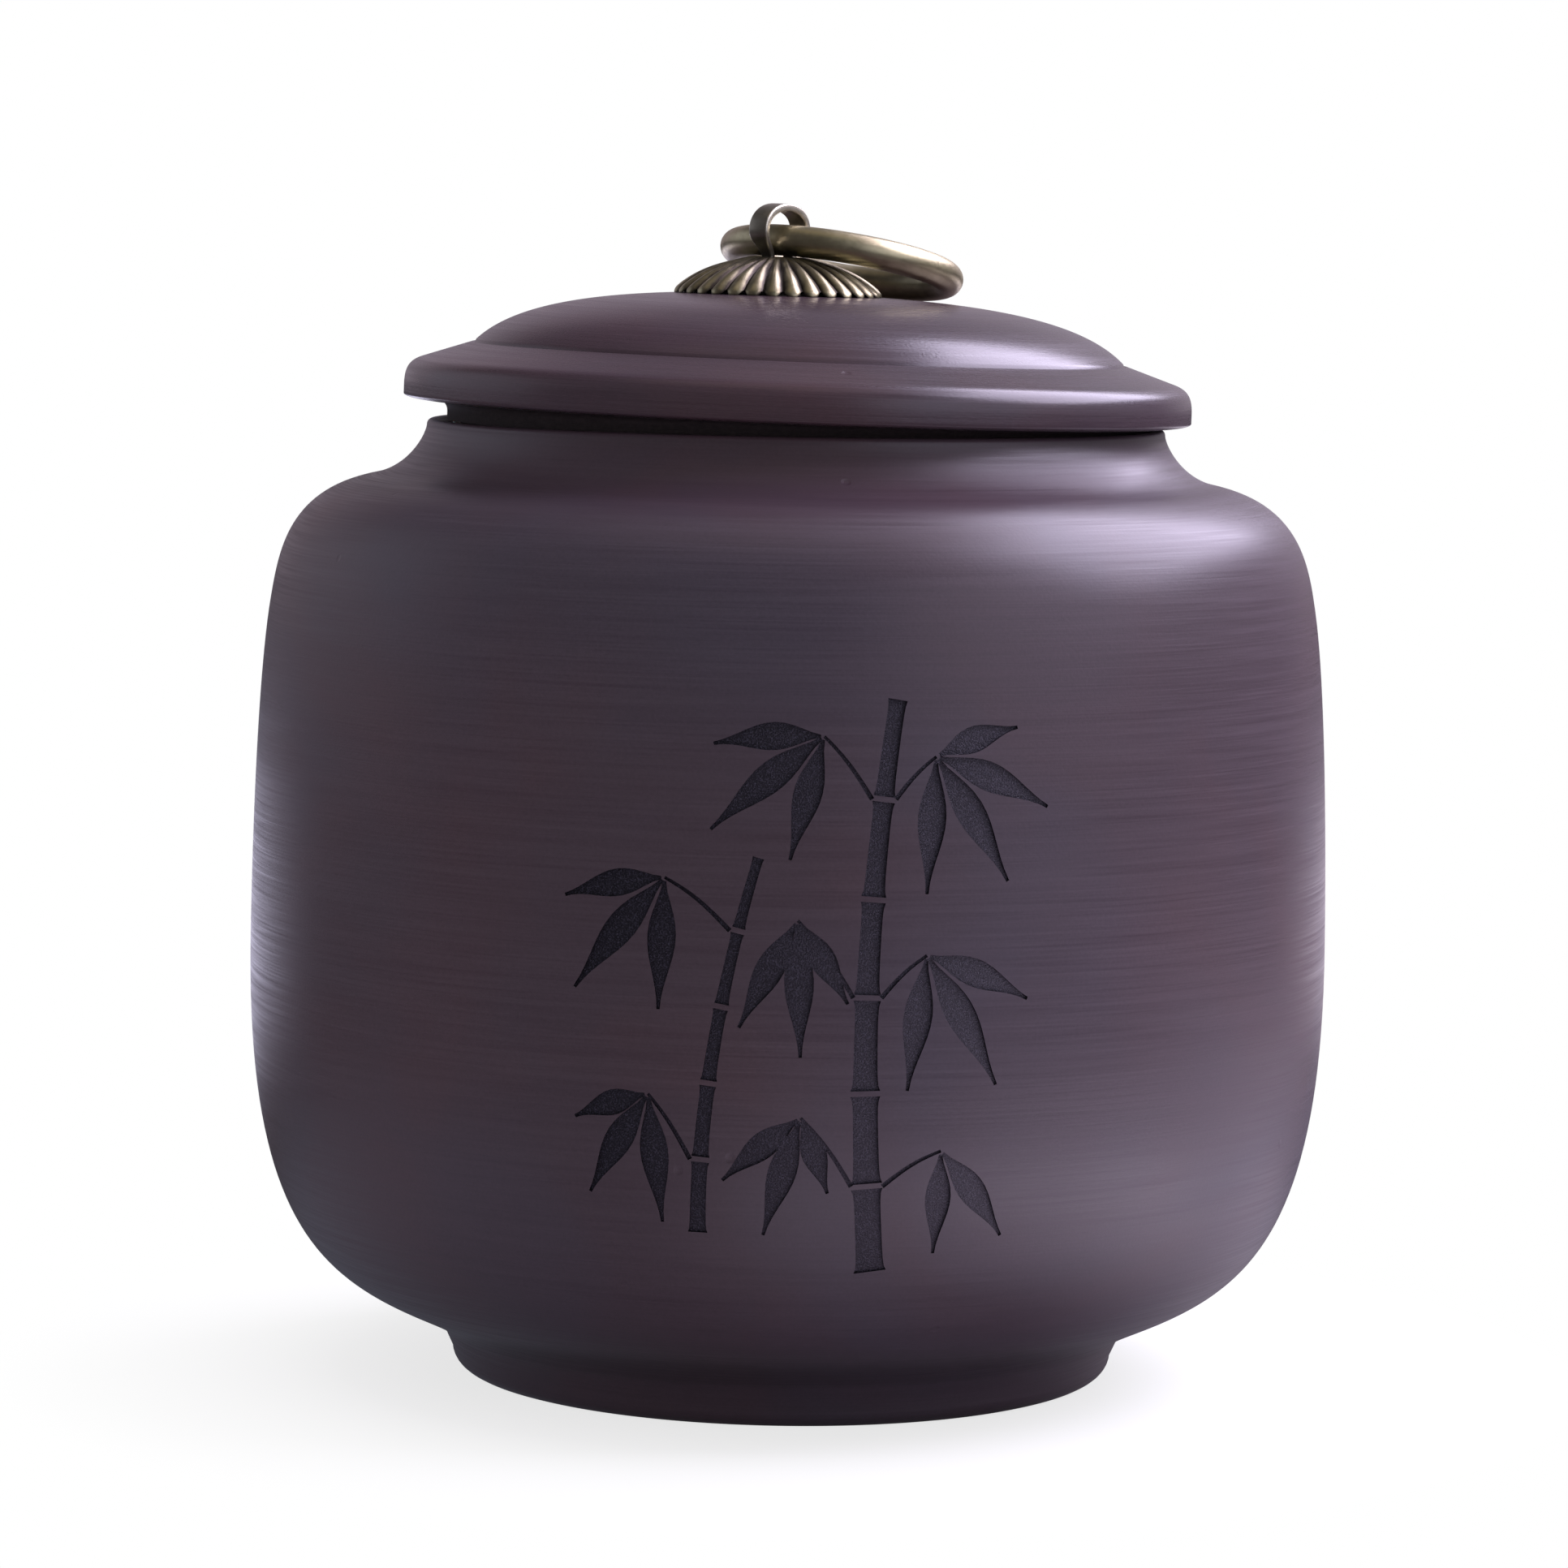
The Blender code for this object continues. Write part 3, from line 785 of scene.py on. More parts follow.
def wire_rule(tree: bpy.types.NodeTree, given: bpy.types.Node) -> bpy.types.NodeSocket:
    """Draw a round wire along a path.

    Args:
        tree: The tree that the nodes go in.
        given: The rule's own inputs.

    Returns:
        The wire.
    """
    path = node(tree, "GeometryNodeMeshToCurve", {0: given.outputs["Geometry"]})
    section = node(tree, "GeometryNodeCurvePrimitiveCircle", {
        "Resolution": given.outputs["Segments"], "Radius": given.outputs["Wire Radius"]})
    return node(tree, "GeometryNodeCurveToMesh", {
        "Curve": path.outputs[0], "Profile Curve": section.outputs[0]}).outputs[0]


class Rules:
    """The object's Geometry Nodes trees."""

    def __init__(self) -> None:
        """Build each tree once."""
        self.turned = GeometryRule(
            "turned_body", {"Segments": "NodeSocketInt", "Path Radius": "NodeSocketFloat"}, turned_rule)
        self.ringed = GeometryRule("petals_in_a_ring", {"Count": "NodeSocketInt"}, ringed_rule)
        self.wire = GeometryRule(
            "round_wire", {"Segments": "NodeSocketInt", "Wire Radius": "NodeSocketFloat"}, wire_rule)


def line_mesh(name: str, points: Sequence[Sequence[float]], closed: bool) -> bpy.types.Mesh:
    """A mesh of edges through points, for a rule to start from.

    Args:
        name: The mesh's name.
        points: The points, in order.
        closed: Whether the last joins the first.

    Returns:
        The mesh.
    """
    mesh = bpy.data.meshes.new(name)
    edges = [(index, index + 1) for index in range(len(points) - 1)]
    if closed:
        edges.append((len(points) - 1, 0))
    mesh.from_pydata(points, edges, [])
    return mesh


@dataclass
class Workshop:
    """What every maker of pieces needs: the rules, the effects and the frames they work in."""

    rules: Rules
    effects: Effects
    path_radius: float = 0.01

    def turn(self, name: str, outline: Sequence[Point], segments: int, finish: bpy.types.Material,
             place: Matrix) -> bpy.types.Object:
        """A turned piece in its place, with the distance along its outline kept on every point.

        Args:
            name: The piece's name.
            outline: Its section, closed or from axis to axis.
            segments: How many facets it has round the axis.
            finish: Its main material.
            place: Where its own axis stands.

        Returns:
            The piece.
        """
        closed = outline[0][0] > TINY
        seed = line_mesh(name, [(radius - self.path_radius, -height, 0.0) for radius, height in outline],
                         closed)
        piece = self.rules.turned.grow(
            name, seed, segments=segments, path_radius=self.path_radius, material=finish)
        piece.data.transform(place)
        return piece

    @staticmethod
    def true_up(piece: bpy.types.Object, outline: Sequence[Point], place: Matrix) -> None:
        """Write the distance along the outline to every point, and the outline's own normals to its faces.

        Args:
            piece: A turned piece, with all its cuts made.
            outline: The outline that it was turned from.
            place: Where its own axis stands.
        """
        mesh, back = piece.data, place.inverted()
        here = np.array([back @ corner.co for corner in mesh.vertices])
        flat = np.column_stack((np.hypot(here[:, 0], here[:, 1]), here[:, 2]))
        line = np.array(outline)
        start, step = line[:-1], np.diff(line, axis=0)
        size = np.hypot(*step.T)
        reach = np.concatenate(([0.0], np.cumsum(size)[:-1]))
        facing = np.column_stack((step[:, 1], -step[:, 0])) / size[:, None]
        best, along = np.empty(len(flat), int), np.empty(len(flat))
        for low in range(0, len(flat), BATCH):
            part = flat[low:low + BATCH, None, :]
            share = np.clip(((part - start) * step).sum(2) / size**2, 0, 1)
            away = np.linalg.norm(start + share[..., None] * step - part, axis=2)
            nearest = away.argmin(1)
            best[low:low + BATCH] = nearest
            along[low:low + BATCH] = np.take_along_axis(share, nearest[:, None], 1)[:, 0]
        attribute = mesh.attributes.new(TURNING, "FLOAT", "POINT")
        attribute.data.foreach_set("value", reach[best] + along * size[best])
        before = facing + np.roll(facing, 1, axis=0)
        after = facing + np.roll(facing, -1, axis=0)
        section = before[best] * (1 - along)[:, None] + after[best] * along[:, None]
        section /= np.linalg.norm(section, axis=1)[:, None]
        around = here[:, :2] / np.maximum(flat[:, :1], TINY)
        normals = np.column_stack((around * section[:, :1], section[:, 1])) @ np.array(place.to_3x3()).T
        chosen = []
        for face in mesh.polygons:
            for index in face.vertices:
                normal = normals[index]
                agrees = flat[index, 0] > MM and face.normal.dot(normal) > SMOOTH_ENOUGH
                chosen.append(tuple(normal) if agrees else (0.0, 0.0, 0.0))
        mesh.normals_split_custom_set(chosen)


# Places of the lid's pieces


@dataclass(frozen=True)
class LidPlaces:
    """The frames of the tilted lid, from its given tilt and origin, and of its pin and its ring, from the
    record's joints.
    """

    tilt: float = math.radians(1.35)
    lid_origin: Place = (0.0001202, 0.0, 0.1059353)

    @staticmethod
    def _joint(name: str) -> dict[str, Any]:
        """One joint of the record."""
        joints = frame["record"]["behaviour"]["joints"]
        return next(joint for joint in joints if joint["name"] == name)

    def lid(self) -> Matrix:
        """The lid's own frame, at the lower corner of its flange."""
        return Matrix.Translation(self.lid_origin) @ Matrix.Rotation(self.tilt, 4, "Y")

    def pin(self) -> Matrix:
        """The pin's own frame: Z up its axis, X along the loop's hole.

        Returns:
            The frame.
        """
        swivel, fold = self._joint("pin_swivel"), self._joint("ring_fold")
        up, hole = Vector(swivel["axis"]), Vector(fold["axis"])
        return self._frame(hole, up.cross(hole), up, Vector(swivel["pos_m"]))

    def ring(self, droop: float, roll: float) -> Matrix:
        """The ring's own frame: it lies towards +Y from the wire's middle in the loop.

        Args:
            droop: How far it hangs from level, in radians.
            roll: How far it leans to one side, in radians.

        Returns:
            The frame.
        """
        middle = self.pin().inverted() @ Vector(self._joint("ring_fold")["pos_m"])
        flat = self.pin() @ Matrix.Translation(middle)
        return flat @ Matrix.Rotation(-droop, 4, "X") @ Matrix.Rotation(roll, 4, "Y")

    @staticmethod
    def _frame(x: Vector, y: Vector, z: Vector, origin: Vector) -> Matrix:
        """A frame from its three axes and its origin."""
        turn = Matrix((x.normalized(), y.normalized(), z.normalized())).transposed().to_4x4()
        return Matrix.Translation(origin) @ turn


# The jar


@dataclass(frozen=True)
class Stalk:
    """A bent stalk of bamboo: three points that bend it, its widths and its number of lengths."""

    low: Point
    middle: Point
    high: Point
    wide: float
    narrow: float
    lengths: int

    def at(self, t: float) -> tuple[float, float, float]:
        """Its middle's x and z and its half width, at a share of its height.

        Args:
            t: The share of its height.

        Returns:
            The middle's x and z, and the half width.
        """
        x, z = (self.low[k] * (1 - t) ** 2 + self.middle[k] * 2 * t * (1 - t) + self.high[k] * t * t
                for k in (0, 1))
        return x, z, (self.wide + (self.narrow - self.wide) * t) / 2


@dataclass(frozen=True)
class Spray:
    """A few leaves at the end of a twig."""

    stalk: int
    joint: int  # the stalk's joint that its twig leaves from
    end: Point
    leaves: tuple[Point, ...]  # each leaf's bearing in degrees and its length


@dataclass
class BambooEngraving:
    """A spray of bamboo cut into the jar's front. Its drawing is in millimetres on the unrolled wall."""

    depth: float = 0.00028
    proud: float = 0.0008
    body_radius: float = 0.0590
    stations: int = 12
    stalks: tuple[Stalk, ...] = (
        Stalk((9.5, 20.0), (6.0, 48.0), (11.0, 79.0), 2.9, 1.7, 6),
        Stalk((-9.0, 24.0), (-8.5, 44.0), (-3.0, 63.0), 1.7, 1.0, 5),
    )
    sprays: tuple[Spray, ...] = (
        Spray(0, 5, (15.0, 73.0), ((-4, 13.5), (34, 14.5), (72, 13.0), (116, 9.0))),
        Spray(0, 5, (3.4, 75.0), ((-16, 12.5), (-54, 14.5), (-92, 11.0))),
        Spray(0, 3, (1.0, 56.5), ((34, 9.5), (2, 13.5), (-30, 12.0))),
        Spray(0, 3, (14.2, 53.0), ((-8, 13.5), (32, 15.0), (72, 11.5))),
        Spray(1, 4, (-12.6, 60.5), ((-2, 13.0), (-42, 14.5), (-84, 10.5))),
        Spray(0, 1, (1.6, 36.5), ((22, 8.0), (-18, 12.5), (-54, 10.0))),
        Spray(1, 1, (-14.0, 38.5), ((6, 13.0), (-34, 12.0), (-76, 8.0))),
        Spray(0, 1, (16.2, 33.0), ((0, 10.5), (42, 11.5))),
    )
    length_flare: float = 0.22  # how much wider a length of stalk is at its joints
    joint_gap: float = 0.55
    leaf_width: float = 2.7
    leaf_growth: Span = (0.62, 0.38)  # the share of its width that a leaf has anyway, and by its length
    full_leaf: float = 14.0
    leaf_swell: Span = (0.84, 1.9)  # how soon a leaf swells, and how slender its ends are
    leaf_droop: float = 0.16
    stem: float = 0.35
    stem_width: float = 0.34
    twig_width: float = 0.50
    twig_taper: float = 0.35
    twig_arch: float = 0.06
    twig_steps: int = 8

    def shapes(self) -> list[list[tuple[float, ...]]]:
        """Every cut shape as stations of (middle x, middle z, sideways x, sideways z, half width).

        Returns:
            The shapes.
        """
        cuts = [self._length(stalk, index) for stalk in self.stalks for index in range(stalk.lengths)]
        for spray in self.sprays:
            cuts.append(self._twig(spray))
            cuts += [self._leaf(spray.end, math.radians(bearing), size) for bearing, size in spray.leaves]
        return cuts

    def _length(self, stalk: Stalk, index: int) -> list[tuple[float, ...]]:
        """One length of stalk between two joints, flared at both ends.

        Args:
            stalk: The stalk.
            index: Which length it is, from the ground up.

        Returns:
            Its stations.
        """
        path = []
        for step in range(self.stations + 1):
            share = step / self.stations
            x, z, half = stalk.at((index + share) / stalk.lengths)
            path.append((x, z, half * (1 + self.length_flare * abs(2 * share - 1) ** 6)))
        return self._stations(self._trimmed(path))

    def _trimmed(self, path: list[Place]) -> list[Place]:
        """The path with half a joint's gap taken off each end.

        Args:
            path: The points, with a half width each.

        Returns:
            The shorter path.
        """
        share = self.joint_gap / 2 / math.dist(path[0][:2], path[1][:2])
        first, last = (
            (end[0] + (near[0] - end[0]) * share, end[1] + (near[1] - end[1]) * share, end[2])
            for end, near in ((path[0], path[1]), (path[-1], path[-2])))
        return [first, *path[1:-1], last]

    def _leaf(self, start: Point, bearing: float, length: float) -> list[tuple[float, ...]]:
        """One leaf: it swells soon after its stem and runs out to a long point, bending down a little.

        Args:
            start: The end of its twig.
            bearing: Its direction from straight down, in radians.
            length: How long it is.

        Returns:
            Its stations.
        """
        path = []
        x, z = start[0] + self.stem * math.sin(bearing), start[1] - self.stem * math.cos(bearing)
        step_length = length / self.stations
        own, by_length = self.leaf_growth
        width = self.leaf_width * (own + by_length * length / self.full_leaf)
        early, slender = self.leaf_swell
        for step in range(self.stations + 1):
            t = step / self.stations
            swell = math.sin(math.pi * t**early) ** slender
            path.append((x, z, self.stem_width / 2 + width / 2 * swell))
            heading = bearing * (1 - self.leaf_droop * t)
            x, z = x + step_length * math.sin(heading), z - step_length * math.cos(heading)
        return self._stations(path)

    def _twig(self, spray: Spray) -> list[tuple[float, ...]]:
        """One thin twig that rises from a stalk's joint to its spray.

        Args:
            spray: The spray.

        Returns:
            Its stations.
        """
        stalk, end = self.stalks[spray.stalk], spray.end
        x, z, half = stalk.at(spray.joint / stalk.lengths)
        x += math.copysign(half + self.joint_gap / 2, end[0] - x)
        path = []
        for step in range(self.twig_steps + 1):
            t = step / self.twig_steps
            arch = self.twig_arch * math.dist((x, z), end) * math.sin(math.pi * t)
            path.append((x + (end[0] - x) * t, z + (end[1] - z) * t + arch,
                         self.twig_width / 2 * (1 - self.twig_taper * t)))
        return self._stations(path)

    @staticmethod
    def _stations(path: list[Place]) -> list[tuple[float, ...]]:
        """Add to each point of a path the direction across it.

        Args:
            path: The points, with a half width each.

        Returns:
            The path's stations.
        """
        made = []
        for index, (x, z, half) in enumerate(path):
            before, after = path[max(index - 1, 0)], path[min(index + 1, len(path) - 1)]
            run, rise = after[0] - before[0], after[1] - before[1]
            size = math.hypot(run, rise)
            made.append((x, z, -rise / size, run / size, half))
        return made

    def cutter(self, wall: Sequence[Point], finish: bpy.types.Material) -> bpy.types.Object:
        """A solid for each shape, from under the wall's surface to outside it.

        Args:
            wall: The jar's outside, from the foot up.
            finish: The material that the cut faces take.

        Returns:
            The cutter.
        """
        builder = bmesh.new()
        for shape in self.shapes():
            rows = []
            for x, z, side_x, side_z, half in shape:
                row = []
                for across in (-1, 0, 1):
                    angle = (x + side_x * half * across) * MM / self.body_radius
                    height = (z + side_z * half * across) * MM
                    radius = radius_at(wall, height)
                    row.append([
                        builder.verts.new((reach * math.sin(angle), -reach * math.cos(angle), height))
                        for reach in (radius - self.depth, radius + self.proud)])
                rows.append(row)
            for first, second in zip(rows, rows[1:]):
                for layer in (0, 1):
                    for k in (0, 1):
                        builder.faces.new((
                            first[k][layer], first[k + 1][layer], second[k + 1][layer], second[k][layer]))
                for k in (0, 2):
                    builder.faces.new((first[k][0], first[k][1], second[k][1], second[k][0]))
            for end in (rows[0], rows[-1]):
                for k in (0, 1):
                    builder.faces.new((end[k][0], end[k + 1][0], end[k + 1][1], end[k][1]))
        bmesh.ops.recalc_face_normals(builder, faces=builder.faces)
        mesh = mesh_from(builder, "engraving_cutter")
        mesh.materials.append(finish)
        return set_out("engraving_cutter", mesh)


@dataclass
class Jar:
    """The thrown jar: foot ring, belly, flank, shoulder, flared neck and rim, and its engraving."""

    body_radius: float = 0.0590
    height: float = 0.1042
    wall: float = 0.0045
    widest_share: float = 0.4388
    shoulder_share: float = 0.967
    shoulder_drop: float = 0.0194
    neck_height: float = 0.0062
    neck_flare: float = 0.0060
    belly_angle: float = math.radians(40.0)
    shoulder_angle: float = math.radians(99.4)
    neck_angle: float = math.radians(168.7)
    belly_shares: tuple[float, float] = (0.20, 0.84)
    flank_shares: tuple[float, float] = (0.136, 0.254)
    shoulder_shares: tuple[float, float] = (0.28, 0.54)
    neck_shares: tuple[float, float] = (0.54, 0.10)
    arc_shares: tuple[float, float] = (0.39, 0.39)
    rim_radius: float = 0.0403
    rim_wall: float = 0.0015
    rim_edge: float = 0.0006
    mouth_depth: float = 0.0067
    foot_radius: float = 0.0375
    foot_height: float = 0.0046
    foot_taper: float = 0.0011
    foot_edge: float = 0.0022
    foot_width: float = 0.0050
    foot_recess: float = 0.0030
    floor_ease: float = 0.0060
    floor_dip: float = 0.0012
    segments: int = 224
    fine_step: float = 0.0016
    foot_flat_height: float = 0.0009
    foot_raw_widths: float = 1.6  # how many of the foot ring's widths in the raw underside starts
    facing_in: float = 0.05  # how far a face leans to the axis to count as the inside
    facing_down: float = 0.9

    def _corners(self) -> dict[str, Point]:
        """The places where one stretch of the outside meets the next.

        Returns:
            Each place by its name.
        """
        return {
            "crease": (self.foot_radius, self.foot_height),
            "widest": (self.body_radius, self.height * self.widest_share),
            "shoulder": (self.body_radius * self.shoulder_share, self.height - self.shoulder_drop),
            "root": (self.rim_radius + self.neck_flare, self.height - self.neck_height),
        }

    def outside(self) -> list[Point]:
        """The wall's outside, from the crease over the foot up to the neck's root.

        Returns:
            The points, from the foot up.
        """
        at = self._corners()
        return joined(
            curve(at["crease"], self.belly_angle, at["widest"], QUARTER, self.belly_shares, 48),
            curve(at["widest"], QUARTER, at["shoulder"], self.shoulder_angle, self.flank_shares, 24),
            curve(at["shoulder"], self.shoulder_angle, at["root"], self.neck_angle,
                  self.shoulder_shares, 30))

    def outline(self) -> list[Point]:
        """The whole section, from the middle of the underside round to the middle of the floor inside.

        Returns:
            The points of the section.
        """
        at = self._corners()
        edge_radius = self.foot_radius - self.foot_taper
        foot_inner = edge_radius - self.foot_edge - self.foot_width
        recess = (foot_inner - self.foot_recess, self.foot_recess)
        rim_low = (self.rim_radius, self.height - self.rim_edge)
        mouth = self.rim_radius - self.rim_wall

        def inside(point: Point, angle: float) -> Point:
            """The point of the wall's inside that faces a point outside."""
            return point[0] - self.wall * math.sin(angle), point[1] + self.wall * math.cos(angle)

        inner_crease = inside(at["crease"], self.belly_angle)
        inner_widest = inside(at["widest"], QUARTER)
        inner_shoulder = inside(at["shoulder"], self.shoulder_angle)
        inner_root = inside(at["root"], self.neck_angle)
        floor_edge = (inner_crease[0] - self.floor_ease, inner_crease[1] - self.floor_dip)
        down = -QUARTER
        return joined(
            refined([(0, self.foot_recess), recess], 0.004),
            curve(recess, 0, (foot_inner, 0), -math.pi / 3, self.arc_shares, 8),
            refined([(foot_inner, 0), (edge_radius - self.foot_edge, 0)], self.fine_step),
            curve((edge_radius - self.foot_edge, 0), 0, (edge_radius, self.foot_edge), QUARTER,
                  self.arc_shares, 8),
            refined([(edge_radius, self.foot_edge), at["crease"]], self.fine_step),
            self.outside(),
            curve(at["root"], self.neck_angle, rim_low, QUARTER, self.neck_shares, 20),
            curve(rim_low, QUARTER, (self.rim_radius - self.rim_edge, self.height), math.pi,
                  self.arc_shares, 6),
            curve((mouth + self.rim_edge, self.height), math.pi, (mouth, rim_low[1]), down,
                  self.arc_shares, 6),
            curve((mouth, self.height - self.mouth_depth), down, inner_root, self.neck_angle - math.pi,
                  self.arc_shares, 8),
            curve(inner_root, self.neck_angle - math.pi, inner_shoulder, self.shoulder_angle - math.pi,
                  self.shoulder_shares[::-1], 14),
            curve(inner_shoulder, self.shoulder_angle - math.pi, inner_widest, down,
                  self.flank_shares[::-1], 10),
            curve(inner_widest, down, inner_crease, self.belly_angle - math.pi,
                  self.belly_shares[::-1], 18),
            curve(inner_crease, self.belly_angle - math.pi, floor_edge, -math.pi, self.arc_shares, 6),
            refined([floor_edge, (0, floor_edge[1])], 0.006))

    def build(self, shop: Workshop) -> list[bpy.types.Object]:
        """Turn the jar, cut its engraving and dress it.

        Args:
            shop: The rules, the effects and the turning.

        Returns:
            The finished pieces.
        """
        clay = BurnishedClay().make(shop.effects)
        black = EngravedBlack().make()
        raw = RawClay().make(shop.effects)
        piece = shop.turn("turned_jar", self.outline(), self.segments, clay, Matrix())
        cut_away(piece, BambooEngraving().cutter(self.outside(), black), "engraving",
                 use_self=True, material_mode="TRANSFER")
        piece.data.materials.append(raw)
        self._mark_raw(piece, len(piece.data.materials) - 1)
        smooth(piece)
        shop.true_up(piece, self.outline(), Matrix())
        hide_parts("jar")
        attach(piece, "jar_body")
        return [piece]

    def _mark_raw(self, piece: bpy.types.Object, slot: int) -> None:
        """Give the inside and the foot's underside their raw finish.

        Args:
            piece: The piece.
            slot: The raw finish's slot.
        """
        raw_top = self.height - self.mouth_depth
        throat = self.rim_radius - self.rim_wall - self.rim_wall
        foot_hollow = self.foot_radius - self.foot_width * self.foot_raw_widths
        for face in piece.data.polygons:
            middle, out = face.center, face.normal
            radial = Vector((middle.x, middle.y, 0.0))
            inward = radial.length > TINY and out.dot(radial.normalized()) < -self.facing_in
            within = self.foot_height < middle.z < raw_top and (inward or radial.length < throat)
            under = middle.z < self.foot_flat_height and out.z < -self.facing_down
            recessed = middle.z < self.foot_height and radial.length < foot_hollow
            if within or under or recessed:
                face.material_index = slot


# The lid


@dataclass
class Lid:
    """The turned lid: its dome, its flange, and under it the spigot and its lip seal."""

    rim_radius: float = 0.0403
    overhang: float = 0.0027
    mouth_radius: float = 0.0388
    flange_side: float = 0.0009
    flange_shoulder: float = 0.00405
    flange_rounding: float = 0.0019
    flange_drop: float = 0.0005
    flange_undercut: float = 0.0026
    slope_width: float = 0.0075
    crease_height: float = 0.00595
    crease_cut: float = 0.00020
    crease_lead: float = 1.6  # how many cuts before the crease its groove starts
    height: float = 0.0124
    dome_angle: float = math.radians(-46.0)
    dome_shares: tuple[float, float] = (0.53, 0.19)
    flange_top_shares: tuple[float, float] = (0.50, 0.42)
    underside_shares: tuple[float, float] = (0.30, 0.15)
    arc_shares: tuple[float, float] = (0.39, 0.39)
    wall: float = 0.0045
    ceiling_flat: float = 0.0125
    ceiling_shares: tuple[float, float] = (0.45, 0.35)
    spigot_gap: float = 0.0006
    spigot_fillet: float = 0.0013
    spigot_depth: float = 0.0100
    spigot_wall: float = 0.0044
    spigot_edge: float = 0.0008
    touch_gap: float = 0.0003
    seal_height: float = 0.0044
    seal_top: float = 0.0024
    seal_seat: float = 0.0015
    lips: int = 2
    lip_root: float = 0.35
    lip_edge: float = 0.42
    lip_angle: float = math.radians(35)
    hole_radius: float = 0.0029
    hole_segments: int = 48
    segments: int = 224

    def dome(self) -> list[Point]:
        """The lid's top, from its middle out to the crease."""
        crease = (self.rim_radius + self.overhang - self.slope_width, self.crease_height)
        return curve((0, self.height), 0, crease, self.dome_angle, self.dome_shares, 44)

    def outline(self) -> list[Point]:
        """The whole section, from the middle of the hollow round to the middle of the top.

        Returns:
            The points of the section.
        """
        radius = self.rim_radius + self.overhang
        spigot = self.mouth_radius - self.spigot_gap
        spigot_inner = spigot - self.spigot_wall
        groove = spigot - self.seal_seat
        under = -self.flange_drop
        end = under - self.spigot_depth
        seal_top = under - self.seal_top + self.touch_gap
        seal_end = under - self.seal_top - self.seal_height - self.touch_gap
        shoulder = (radius - self.flange_rounding, self.flange_shoulder)
        crease = self.dome()[-1]
        slope = math.atan2(crease[1] - shoulder[1], crease[0] - shoulder[0])
        ceiling = self.height - self.wall
        lead = self.crease_cut * self.crease_lead
        return joined(
            refined([(0, ceiling), (self.ceiling_flat, ceiling)], 0.004),
            curve((self.ceiling_flat, ceiling), 0, (spigot_inner, under), -QUARTER,
                  self.ceiling_shares, 22),
            curve((spigot_inner, end + self.spigot_edge), -QUARTER, (spigot_inner + self.spigot_edge, end),
                  0, self.arc_shares, 6),
            curve((spigot - self.spigot_edge, end), 0, (spigot, end + self.spigot_edge), QUARTER,
                  self.arc_shares, 6),
            [(spigot, seal_end), (groove, seal_end), (groove, seal_top), (spigot, seal_top)],
            curve((spigot, under - self.spigot_fillet), QUARTER, (spigot + self.spigot_fillet, under), 0,
                  self.arc_shares, 8),
            refined([(spigot + self.spigot_fillet, under), (radius - self.flange_undercut, under)], 0.0015),
            curve((radius - self.flange_undercut, under), 0, (radius, 0), QUARTER,
                  self.underside_shares, 12),
            refined([(radius, 0), (radius, self.flange_side)], 0.0004),
            curve((radius, self.flange_side), QUARTER, shoulder, slope, self.flange_top_shares, 16),
            refined([shoulder, (crease[0] + lead, crease[1] + lead * math.tan(slope))], 0.0008),
            [(crease[0], crease[1] - self.crease_cut),
             (crease[0] - self.crease_cut, crease[1] + self.crease_cut)],
            self.dome()[-2::-1])

    def seal_outline(self) -> list[Point]:
        """The seal's section: a band with soft lips that narrow towards the mouth's wall.

        Returns:
            The points of the section.
        """
        inner = self.mouth_radius - self.spigot_gap - self.seal_seat + self.touch_gap
        outer = self.mouth_radius - self.touch_gap
        root = inner + (outer - inner) * self.lip_root
        top = -self.flange_drop - self.seal_top
        base = top - self.seal_height
        pitch = self.seal_height / self.lips
        outline: list[Point] = [(inner, base)]
        for lip in range(self.lips):
            low = base + lip * pitch
            high = low + pitch - self.touch_gap
            tip = (outer, high - pitch * self.lip_edge / 2)
            outline += curve((root, low), self.lip_angle, tip, QUARTER, (0.3, 0.3), 8)
            outline += curve(tip, QUARTER, (root, high), math.pi, (0.4, 0.3), 8)
        return joined(outline, [(root, top), (inner, top)])

    def build(self, shop: Workshop, places: LidPlaces) -> list[bpy.types.Object]:
        """Turn the lid and its seal, drill the pin's hole and dress both.

        Args:
            shop: The rules, the effects and the turning.
            places: Where the lid, its pin and its ring stand.

        Returns:
            The finished pieces.
        """
        # The lid's clay is drawn darker and redder than the jar's: partly its own tone and partly painted
        # shade. Its raw clay is drawn far darker than the jar's, as painted shadow in the gap under the
        # flange.
        clay = BurnishedClay(
            name="burnished_clay_lid", base=(0.0410, 0.0250, 0.0330), warm=(0.0475, 0.0250, 0.0315),
            cool=(0.0360, 0.0270, 0.0395), roughness=(0.22, 0.33), grain_depth=0.000013).make(shop.effects)
        raw = RawClay(name="raw_clay_lid_shaded", base=(0.021, 0.013, 0.015), dust=(0.034, 0.022, 0.024)).make(
            shop.effects)
        lid = shop.turn("turned_lid", self.outline(), self.segments, clay, places.lid())
        self._drill(lid, places)
        lid.data.materials.append(raw)
        self._mark_raw(lid, places, len(lid.data.materials) - 1)
        rubber = Silicone().make(shop.effects)
        seal = shop.turn("lip_seal", self.seal_outline(), self.segments, rubber, places.lid())
        for piece, cad_node, slot in ((lid, "lid", "stoneware"), (seal, "lid_seal", "silicone")):
            smooth(piece)
            if piece is lid:
                shop.true_up(piece, self.outline(), places.lid())
            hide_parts(cad_node)
            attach(piece, "lid_body")
        return [lid, seal]

